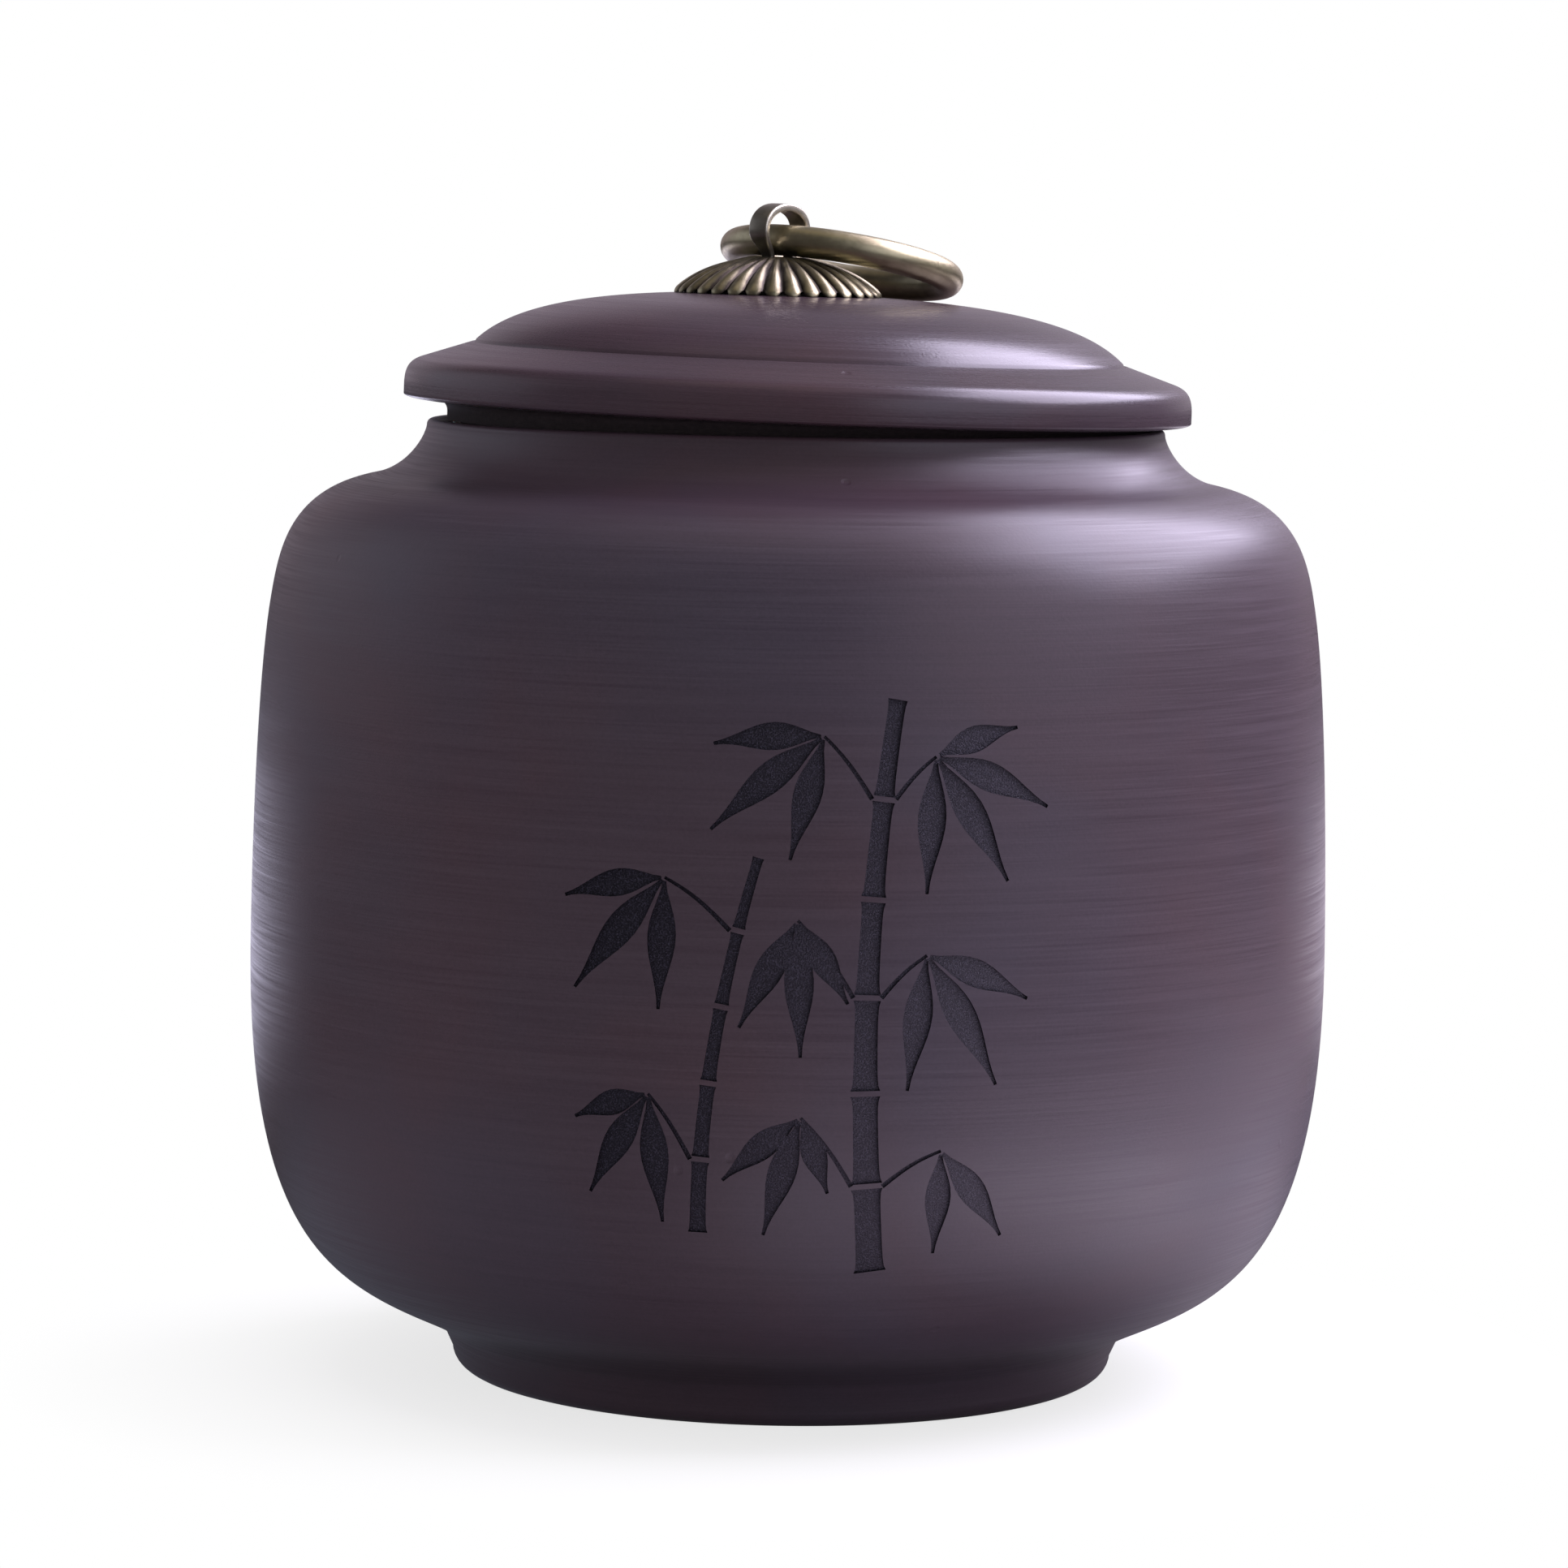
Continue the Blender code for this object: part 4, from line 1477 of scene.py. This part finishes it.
    def _drill(self, lid: bpy.types.Object, places: LidPlaces) -> None:
        """Cut the hole that the pin's legs go through.

        Args:
            lid: The lid.
            places: Where the lid, its pin and its ring stand.
        """
        builder = bmesh.new()
        bmesh.ops.create_cone(builder, cap_ends=True, segments=self.hole_segments,
                              radius1=self.hole_radius, radius2=self.hole_radius, depth=self.height * 2,
                              matrix=places.pin() @ Matrix.Translation((0, 0, self.height)))
        cut_away(lid, set_out("pin_drill", mesh_from(builder, "pin_drill")), "pin_hole")

    def _mark_raw(self, lid: bpy.types.Object, places: LidPlaces, slot: int) -> None:
        """Give the lid's hollow and spigot their raw finish, drawn darker than the jar's raw clay as
        painted shadow.

        Args:
            lid: The lid.
            places: Where the lid, its pin and its ring stand.
            slot: The raw finish's slot.
        """
        inside_out = places.lid().inverted()
        for face in lid.data.polygons:
            middle = inside_out @ face.center
            if middle.z < -self.flange_drop + TINY or (
                    math.hypot(middle.x, middle.y) < self.mouth_radius and face.normal.z < -0.02):
                face.material_index = slot


# The brass fittings


@dataclass
class Rosette:
    """The domed rosette: petals with rounded backs, dark grooves between them and a scalloped rim."""

    petals: int = 32
    columns: int = 14
    rows: int = 30
    under_rows: int = 8
    seat: float = 0.012131
    sheet: float = 0.0005
    crown: tuple[Point, ...] = (
        (2.90, 4.16), (3.90, 3.98), (5.20, 3.66), (6.60, 3.25), (7.90, 2.76), (9.10, 2.16),
        (10.10, 1.52), (10.80, 0.98), (11.20, 0.56), (11.35, 0.20))  # in millimetres over the seat
    groove_depth: float = 0.00058
    groove_start: float = 0.0032
    groove_full: float = 0.0066
    groove_dark: Span = (2.2, 1.3)  # how narrow the dark in a groove is, and how strong
    notch: float = 0.125  # how much shorter the sheet is between two tips, as a share
    notch_point: float = 1.7
    tip_start: float = 0.0092
    # how much darker the crown is drawn towards the hole
    crown_darkening: float = 0.42
    sharp_angle: float = math.radians(50)

    def _crown_at(self, share: float) -> Point:
        """A point along the middle of a petal's back, from the hole to the tip.

        Args:
            share: How far along the back, from 0 to 1.

        Returns:
            Its distance from the axis and its height.
        """
        reach = [0.0]
        for before, after in zip(self.crown, self.crown[1:]):
            reach.append(reach[-1] + math.dist(before, after))
        wanted = share * reach[-1]
        for index in range(len(self.crown) - 1):
            if wanted <= reach[index + 1] + TINY:
                t = (wanted - reach[index]) / (reach[index + 1] - reach[index])
                points = [self.crown[max(0, min(index + k, len(self.crown) - 1))] for k in (-1, 0, 1, 2)]
                return tuple(self._smooth_step(*(point[k] for point in points), t) * MM for k in (0, 1))
        return self.crown[-1][0] * MM, self.crown[-1][1] * MM

    @staticmethod
    def _smooth_step(p0: float, p1: float, p2: float, p3: float, t: float) -> float:
        """A value on the smooth curve through four points, between the middle two."""
        return 0.5 * (2 * p1 + (p2 - p0) * t + (2 * p0 - 5 * p1 + 4 * p2 - p3) * t * t
                      + (3 * p1 - p0 - 3 * p2 + p3) * t**3)

    def _petal_mesh(self) -> bpy.types.Mesh:
        """One petal as a closed loop of sheet: over its back, round its tip and back underneath.

        Returns:
            The petal's mesh.
        """
        half = math.pi / self.petals
        builder = bmesh.new()
        patina_and_shade = builder.verts.layers.float.new(SHADE_AND_PATINA)
        rings = []
        narrow, strength = self.groove_dark
        tracks = [(row / self.rows, False) for row in range(self.rows + 1)]
        tracks += [(1 - row / self.under_rows, True) for row in range(self.under_rows + 1)]
        for share, below in tracks:
            ring = []
            for column in range(self.columns + 1):
                t = 2 * column / self.columns - 1
                radius, height = self._crown_at(share * (1 - self.notch * abs(t) ** self.notch_point))
                cut = held((radius - self.groove_start) / (self.groove_full - self.groove_start))
                sink = self.groove_depth * abs(t) ** 2.0 * cut
                level = max(0.0, height - (self.sheet if below else sink))
                corner = builder.verts.new((
                    radius * math.cos(half * t), radius * math.sin(half * t), self.seat + level))
                crown = held((self.tip_start - radius) / self.tip_start * 4)
                dark = held(abs(t) ** narrow * cut * strength + crown * self.crown_darkening)
                # The sheet's underside and its edge at the hole are drawn fully dark: painted shade.
                corner[patina_and_shade] = 1.0 if below or not share else dark
                ring.append(corner)
            rings.append(ring)
        for first, second in zip(rings, rings[1:] + rings[:1]):
            for column in range(self.columns):
                corners = [first[column], first[column + 1], second[column + 1], second[column]]
                if len({tuple(round(c, 9) for c in corner.co) for corner in corners}) > 2:
                    builder.faces.new(corners)
        return mesh_from(builder, "petal")

    def build(self, shop: Workshop, places: LidPlaces) -> list[bpy.types.Object]:
        """Repeat the petal round the pin and dress it.

        Args:
            shop: The rules, the effects and the turning.
            places: Where the lid, its pin and its ring stand.

        Returns:
            The finished pieces.
        """
        brass = AntiqueBrass(Wear.FITTED).make(shop.effects)
        piece = shop.rules.ringed.grow(
            "fluted_rosette", self._petal_mesh(), count=self.petals, material=brass)
        piece.data.transform(places.pin())
        smooth(piece, self.sharp_angle)
        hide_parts("rosette")
        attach(piece, "lid_body")
        return [piece]


@dataclass
class SplitPin:
    """The folded strip: its loop over the rosette, its two legs and their bent ends, and the washer."""

    strip_width: float = 0.0024
    thickness: float = 0.00080
    leg_width: float = 0.0014
    leg_spread: float = 0.0040
    loop_width: float = 0.00745
    loop_height: float = 0.00557
    widest_share: float = 0.54
    loop_angle: float = math.radians(66.0)
    loop_shares: tuple[float, float] = (0.35, 0.35)
    arc_shares: tuple[float, float] = (0.39, 0.39)
    tab_length: float = 0.0048
    tab_bend: float = 0.0010
    loop_base: float = 0.016131
    washer_top: float = 0.0076
    washer_thickness: float = 0.0008
    washer_width: float = 0.0032
    washer_edge: float = 0.0002
    washer_segments: int = 96
    hole_radius: float = 0.0029
    touch_gap: float = 0.0003
    edge: float = 0.00022
    edge_steps: int = 3
    lit_and_rubbed_edge: float = 0.6  # the share of the edge that is kept bright, as wear and as a painted highlight
    # How dark the strip's flat faces are drawn on the loop and on the legs: tarnish, and painted shade.
    loop_shade_and_tarnish: float = 0.34
    leg_shade_and_tarnish: float = 0.20
    fine_step: float = 0.0008

    def _half_path(self, side: int) -> list[tuple[float, float, float]]:
        """One leg and half the loop as (sideways, height, width), from the bent end to the loop's top.

        Args:
            side: -1 for the left half and 1 for the right.

        Returns:
            The points, with the strip's width at each.
        """
        leg = side * self.leg_spread / 2
        low = self.washer_top - self.washer_thickness - self.touch_gap - self.thickness / 2
        waist = (leg, self.loop_base + self.thickness / 2)
        widest = (side * self.loop_width / 2, self.loop_base + self.loop_height * self.widest_share)
        top = (0.0, self.loop_base + self.loop_height)
        out = 0 if side > 0 else math.pi
        lean = self.loop_angle if side > 0 else math.pi - self.loop_angle
        root = (leg, self.loop_base - self.thickness)
        path = joined(
            refined([(leg + side * (self.tab_bend + self.tab_length), low),
                     (leg + side * self.tab_bend, low)], self.fine_step),
            curve((leg + side * self.tab_bend, low), out + math.pi, (leg, low + self.tab_bend), QUARTER,
                  self.arc_shares, 8),
            refined([(leg, low + self.tab_bend), root], self.fine_step),
            curve(root, QUARTER, waist, lean, self.arc_shares, 6),
            curve(waist, lean, widest, QUARTER, self.loop_shares, 12),
            curve(widest, QUARTER, top, math.pi - out, self.arc_shares, 20))
        made = []
        for sideways, height in path:
            rise = held((height - waist[1]) / (widest[1] - waist[1]))
            ease = rise * rise * (3 - 2 * rise)
            made.append((sideways, height, self.leg_width + (self.strip_width - self.leg_width) * ease))
        return made

    def _section(self, width: float) -> list[Point]:
        """The strip's section with rounded edges, as (across its width, through its thickness).

        Args:
            width: The strip's width there.

        Returns:
            The points round the section.
        """
        half_width, half_thick = width / 2, self.thickness / 2
        points = []
        for sign_x, sign_y, start in ((1, 1, 0), (-1, 1, 1), (-1, -1, 2), (1, -1, 3)):
            for step in range(self.edge_steps + 1):
                angle = (start + step / self.edge_steps) * QUARTER
                points.append((sign_x * (half_width - self.edge) + self.edge * math.cos(angle),
                               sign_y * (half_thick - self.edge) + self.edge * math.sin(angle)))
        return points

    def _strip(self) -> bpy.types.Mesh:
        """The strip's mesh in the pin's frame.

        Returns:
            The mesh.
        """
        left, right = self._half_path(-1), self._half_path(1)
        path = left + right[-2::-1]
        builder = bmesh.new()
        patina_and_shade = builder.verts.layers.float.new(SHADE_AND_PATINA)
        rings = []
        for index, (side, height, width) in enumerate(path):
            before = Vector(path[max(index - 1, 0)][:2])
            after = Vector(path[min(index + 1, len(path) - 1)][:2])
            along = (after - before).normalized()
            normal = Vector((-along.y, along.x))
            # Flat faces carry tarnish and painted shade; the edges stay bright as wear and as a painted
            # highlight.
            dark = self.loop_shade_and_tarnish if height > self.loop_base else self.leg_shade_and_tarnish
            ring = []
            for across, through in self._section(width):
                corner = builder.verts.new((across, side + normal.x * through, height + normal.y * through))
                on_edge = abs(across) > width / 2 - self.edge * self.lit_and_rubbed_edge
                corner[patina_and_shade] = 0.0 if on_edge else dark
                ring.append(corner)
            rings.append(ring)
        count = len(rings[0])
        for first, second in zip(rings, rings[1:]):
            for index in range(count):
                after = (index + 1) % count
                builder.faces.new((first[index], first[after], second[after], second[index]))
        builder.faces.new(rings[0])
        builder.faces.new(rings[-1][::-1])
        bmesh.ops.recalc_face_normals(builder, faces=builder.faces)
        return mesh_from(builder, "folded_pin")

    def build(self, shop: Workshop, places: LidPlaces) -> list[bpy.types.Object]:
        """Make the strip and its washer and dress them.

        Args:
            shop: The rules, the effects and the turning.
            places: Where the lid, its pin and its ring stand.

        Returns:
            The finished pieces.
        """
        pin = set_out("folded_pin", self._strip())
        pin.data.transform(places.pin())
        # The pin's brass is drawn lighter than the other brass pieces: a painted highlight.
        pin.data.materials.append(AntiqueBrass(
            Wear.FINGERED, bright=(0.64, 0.60, 0.49), dull=(0.50, 0.46, 0.36)).make(shop.effects))
        low, high, ease = self.washer_top - self.washer_thickness, self.washer_top, self.washer_edge
        inner, outer = self.hole_radius, self.hole_radius + self.washer_width
        section = joined(
            refined([(inner, low), (outer - ease, low)], self.fine_step),
            curve((outer - ease, low), 0, (outer, low + ease), QUARTER, self.arc_shares, 4),
            curve((outer, high - ease), QUARTER, (outer - ease, high), math.pi, self.arc_shares, 4),
            [(inner, high)])
        brass = AntiqueBrass(Wear.HIDDEN).make(shop.effects)
        washer = shop.turn("backing_washer", section, self.washer_segments, brass, places.pin())
        for piece, cad_node, body in ((pin, "split_pin", "pin_body"), (washer, "pin_washer", "lid_body")):
            smooth(piece)
            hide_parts(cad_node)
            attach(piece, body)
        return [pin, washer]


@dataclass
class PullRing:
    """The brass wire ring that hangs in the loop and rests on the lid."""

    radius: float = 0.0119
    wire_radius: float = 0.0017
    droop: float = math.radians(11.6)
    roll: float = math.radians(0.8)  # the ring lies a little askew in its loop
    segments: int = 144
    wire_segments: int = 40
    hollow_start: float = 0.1  # where the dark inside of the ring starts, in wire radii
    hollow_fade: float = 1.5
    hollow_dark: float = 0.6

    def build(self, shop: Workshop, places: LidPlaces) -> list[bpy.types.Object]:
        """Draw the wire round its circle and dress it.

        Args:
            shop: The rules, the effects and the turning.
            places: Where the lid, its pin and its ring stand.

        Returns:
            The finished pieces.
        """
        circle = []
        for index in range(self.segments):
            angle = 2 * math.pi * index / self.segments
            circle.append((self.radius * math.sin(angle), self.radius * (1 - math.cos(angle)), 0.0))
        brass = AntiqueBrass(Wear.FINGERED).make(shop.effects)
        piece = shop.rules.wire.grow(
            "wire_ring", line_mesh("ring_path", circle, True), segments=self.wire_segments,
            wire_radius=self.wire_radius, material=brass)
        self._mark_hollow(piece)
        piece.data.transform(places.ring(self.droop, self.roll))
        smooth(piece)
        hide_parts("pull_ring")
        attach(piece, "ring_body")
        return [piece]

    def _mark_hollow(self, piece: bpy.types.Object) -> None:
        """Darken the inside of the ring: painted shade, together with tarnish where no finger rubs.

        Args:
            piece: The piece.
        """
        values = []
        for corner in piece.data.vertices:
            middle = math.hypot(corner.co.x, corner.co.y - self.radius)
            inward = (self.radius - middle) / self.wire_radius
            values.append(held(inward - self.hollow_start) ** self.hollow_fade * self.hollow_dark)
        attribute = piece.data.attributes.new(SHADE_AND_PATINA, "FLOAT", "POINT")
        attribute.data.foreach_set("value", values)


# The studio


@dataclass(frozen=True)
class SoftBox:
    """One soft lamp."""

    name: str
    place: Place
    aim: Place
    size: tuple[float, float]
    power: float
    colour: Colour

    def build(self) -> None:
        """Hang the lamp."""
        lamp = bpy.data.lights.new(self.name, "AREA")
        lamp.shape = "RECTANGLE"
        lamp.size, lamp.size_y = self.size
        lamp.energy = self.power
        lamp.color = self.colour
        made = set_out(self.name, lamp)
        made.location = self.place
        towards = Vector(self.aim) - Vector(self.place)
        made.rotation_euler = towards.to_track_quat("-Z", "Y").to_euler()


@dataclass(frozen=True)
class Glow:
    """A soft bright patch of the surroundings, which only shiny faces mirror."""

    bearing: float  # in degrees round from the front, with the right side positive
    height: float  # in degrees above level
    spread: Point  # in degrees from its middle, where it starts to fade and where it ends
    colour: Colour

    def direction(self) -> Vector:
        """The direction of its middle."""
        turn, up = math.radians(self.bearing), math.radians(self.height)
        return Vector((math.sin(turn) * math.cos(up), -math.cos(turn) * math.cos(up), math.sin(up)))


@dataclass(frozen=True)
class Pool:
    """A soft bright patch of the floor, which only shiny faces mirror."""

    middle: Point
    spread: Point  # in metres from its middle, where it starts to fade and where it ends
    colour: Colour


@dataclass(frozen=True)
class Studio:
    """The pale floor, the white surroundings, the soft lamp and the camera."""

    ambient: float = 0.92
    ambient_colour: Colour = (0.98, 0.96, 1.0)
    rest: Colour = (0.07, 0.065, 0.075)  # what shiny faces mirror beside the glows and pools
    glows: tuple[Glow, ...] = (
        Glow(-160, 8, (8, 32), (0.36, 0.30, 0.35)),
        Glow(-110, 12, (10, 36), (0.41, 0.43, 0.52)),
        Glow(50, 12, (10, 38), (0.98, 1.00, 1.22)),
        Glow(100, 8, (8, 32), (0.32, 0.32, 0.33)),
        Glow(155, 8, (8, 32), (0.40, 0.36, 0.40)),
        Glow(155, 45, (8, 32), (0.17, 0.17, 0.17)),
        Glow(35, 52, (12, 38), (0.10, 0.12, 0.12)),
        Glow(0, 88, (10, 34), (0.24, 0.20, 0.14)),
        Glow(112, 45, (14, 40), (0.12, 0.12, 0.18)),
    )
    pools: tuple[Pool, ...] = (
        Pool((-0.20, 0.42), (0.10, 0.32), (2.10, 2.02, 2.60)),
        Pool((-0.12, -0.03), (0.03, 0.12), (0.22, 0.25, 0.33)),
        Pool((0.03, -0.12), (0.02, 0.08), (1.05, 0.92, 1.12)),
        Pool((0.10, -0.08), (0.02, 0.08), (2.45, 2.18, 2.62)),
        Pool((0.11, -0.01), (0.02, 0.09), (1.10, 1.00, 1.25)),
        Pool((0.26, 0.02), (0.05, 0.20), (1.26, 1.13, 1.40)),
        Pool((0.26, 0.45), (0.10, 0.32), (1.65, 1.47, 1.75)),
    )
    floor_bounce: float = 0.50
    floor_colour: Colour = (0.92, 0.92, 0.93)
    floor_lift: float = 0.74  # how far the shadow is lifted towards white
    floor_radius: float = 6.0
    floor_segments: int = 96
    shadow_radius: Span = (0.048, 0.088)
    camera_place: Place = (0.0, -0.64514, 0.12705)
    camera_pitch: float = math.radians(6.635)
    camera_roll: float = math.radians(0.9428)
    aim_shift: Point = (-0.0010552, 0.019216)
    focal_length: float = 135.27
    clip: Span = (0.01, 50.0)
    lamps: tuple[SoftBox, ...] = (
        SoftBox("right_softbox", (0.590, 0.215, 0.70), (0.0, 0.0, 0.08), (1.05, 0.62), 19.0,
                (0.84, 0.77, 1.0)),
    )

    def build(self) -> None:
        """Set the whole studio up."""
        self._world()
        self._floor()
        for lamp in self.lamps:
            lamp.build()
        self._camera()
        bpy.context.scene.view_settings.view_transform = "Standard"

    @staticmethod
    def _with_patch(tree: bpy.types.NodeTree, so_far: Any, place: bpy.types.NodeSocket, spread: Span,
                    colour: Colour) -> bpy.types.NodeSocket:
        """Add one soft patch to what shiny faces mirror.

        Args:
            tree: The tree.
            so_far: The mirrored colour without this patch.
            place: How near a direction or a place on the floor is to the patch's middle.
            spread: The values of place where the patch ends and where it is full.
            colour: The patch's colour, which may be brighter than white.

        Returns:
            The mirrored colour with the patch.
        """
        share = node(tree, "ShaderNodeMapRange", {
            "Value": place, "From Min": spread[0], "From Max": spread[1], "To Min": 0.0, "To Max": 1.0,
        }, interpolation_type="SMOOTHSTEP").outputs["Result"]
        patch = node(tree, "ShaderNodeVectorMath", {0: colour, "Scale": share}, operation="SCALE")
        return node(tree, "ShaderNodeVectorMath", {0: so_far, 1: patch.outputs[0]},
                    operation="ADD").outputs[0]

    def _world(self) -> None:
        """White surroundings to the camera, and soft patches of light on a dark rest in reflections."""
        world = bpy.data.worlds.new("studio_world")
        world.use_nodes = True
        bpy.context.scene.world = world
        tree = world.node_tree
        tree.nodes.clear()
        towards = node(tree, "ShaderNodeTexCoord").outputs["Generated"]
        mirrored: Any = self.rest
        for glow in self.glows:
            near = node(tree, "ShaderNodeVectorMath", {0: towards, 1: glow.direction()},
                        operation="DOT_PRODUCT").outputs["Value"]
            full, end = (math.cos(math.radians(angle)) for angle in glow.spread)
            mirrored = self._with_patch(tree, mirrored, near, (end, full), glow.colour)
        rays = node(tree, "ShaderNodeLightPath").outputs
        seen = math_node(tree, "MAXIMUM", rays["Is Camera Ray"], rays["Is Transmission Ray"])
        unseen = mix_colour(
            tree, rays["Is Glossy Ray"], tuple(part * self.ambient for part in self.ambient_colour),
            mirrored)
        shown = mix_colour(tree, seen, unseen, WHITE)
        background = node(tree, "ShaderNodeBackground", {"Color": shown})
        node(tree, "ShaderNodeOutputWorld", {0: background.outputs[0]})

    def _floor(self) -> None:
        """A pale round floor that keeps the shadow near the jar and runs out into white."""
        builder = bmesh.new()
        bmesh.ops.create_circle(
            builder, cap_ends=True, segments=self.floor_segments, radius=self.floor_radius)
        mesh = mesh_from(builder, "studio_floor")
        floor = set_out("studio_floor", mesh)
        made = bpy.data.materials.new("floor_paper")
        made.use_nodes = True
        tree = made.node_tree
        tree.nodes.clear()
        rays = node(tree, "ShaderNodeLightPath").outputs
        paper = node(tree, "ShaderNodeBsdfDiffuse", {
            "Color": mix_colour(tree, rays["Is Camera Ray"], (self.floor_bounce,) * 3, self.floor_colour)})
        white = node(tree, "ShaderNodeEmission", {"Color": (*WHITE, 1.0), "Strength": 1.0})
        place = on_piece(tree)
        distance = node(tree, "ShaderNodeVectorMath", {0: place}, operation="LENGTH").outputs["Value"]
        away = map_range(tree, distance, *self.shadow_radius, self.floor_lift, 1.0)
        seen = math_node(tree, "MAXIMUM", rays["Is Camera Ray"], rays["Is Transmission Ray"])
        shown = math_node(tree, "MULTIPLY", seen, away)
        plain = node(tree, "ShaderNodeMixShader", {0: shown, 1: paper.outputs[0], 2: white.outputs[0]})
        mirrored: Any = self.rest
        for pool in self.pools:
            off = node(tree, "ShaderNodeVectorMath", {0: place, 1: (*pool.middle, 0.0)},
                       operation="DISTANCE").outputs["Value"]
            mirrored = self._with_patch(tree, mirrored, off, pool.spread[::-1], pool.colour)
        shine = node(tree, "ShaderNodeEmission", {"Color": mirrored, "Strength": 1.0})
        both = node(tree, "ShaderNodeMixShader", {
            0: rays["Is Glossy Ray"], 1: plain.outputs[0], 2: shine.outputs[0]})
        node(tree, "ShaderNodeOutputMaterial", {0: both.outputs[0]})
        mesh.materials.append(made)

    def _camera(self) -> None:
        """The camera at the photograph's place, with its aim and its slight roll."""
        lens = bpy.data.cameras.new("caddy_camera")
        lens.lens = self.focal_length
        lens.clip_start, lens.clip_end = self.clip
        camera = set_out("caddy_camera", lens)
        pitch, roll = self.camera_pitch, self.camera_roll
        right = Vector((1.0, 0.0, 0.0))
        ahead = Vector((0.0, math.cos(pitch), -math.sin(pitch)))
        up = Vector((0.0, math.sin(pitch), math.cos(pitch)))
        look = (ahead + right * self.aim_shift[0] + up * self.aim_shift[1]).normalized()
        top = up * math.cos(roll) - right * math.sin(roll)
        side = look.cross(top).normalized()
        top = side.cross(look)
        turn = Matrix((side, top, -look)).transposed().to_4x4()
        camera.matrix_world = Matrix.Translation(self.camera_place) @ turn
        bpy.context.scene.camera = camera


def main() -> None:
    """Build the caddy's pieces and the studio."""
    logging.basicConfig(level=logging.INFO, format="%(name)s: %(message)s")
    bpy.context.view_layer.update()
    shop = Workshop(Rules(), Effects())
    places = LidPlaces()
    made = Jar().build(shop)
    for maker in (Lid(), Rosette(), SplitPin(), PullRing()):
        made += maker.build(shop, places)
    for piece in made:
        mesh = piece.data
        LOG.info("%s: %d points, %d faces", piece.name, len(mesh.vertices), len(mesh.polygons))
    Studio().build()
    bpy.context.view_layer.update()


if __name__ == "__main__":
    main()
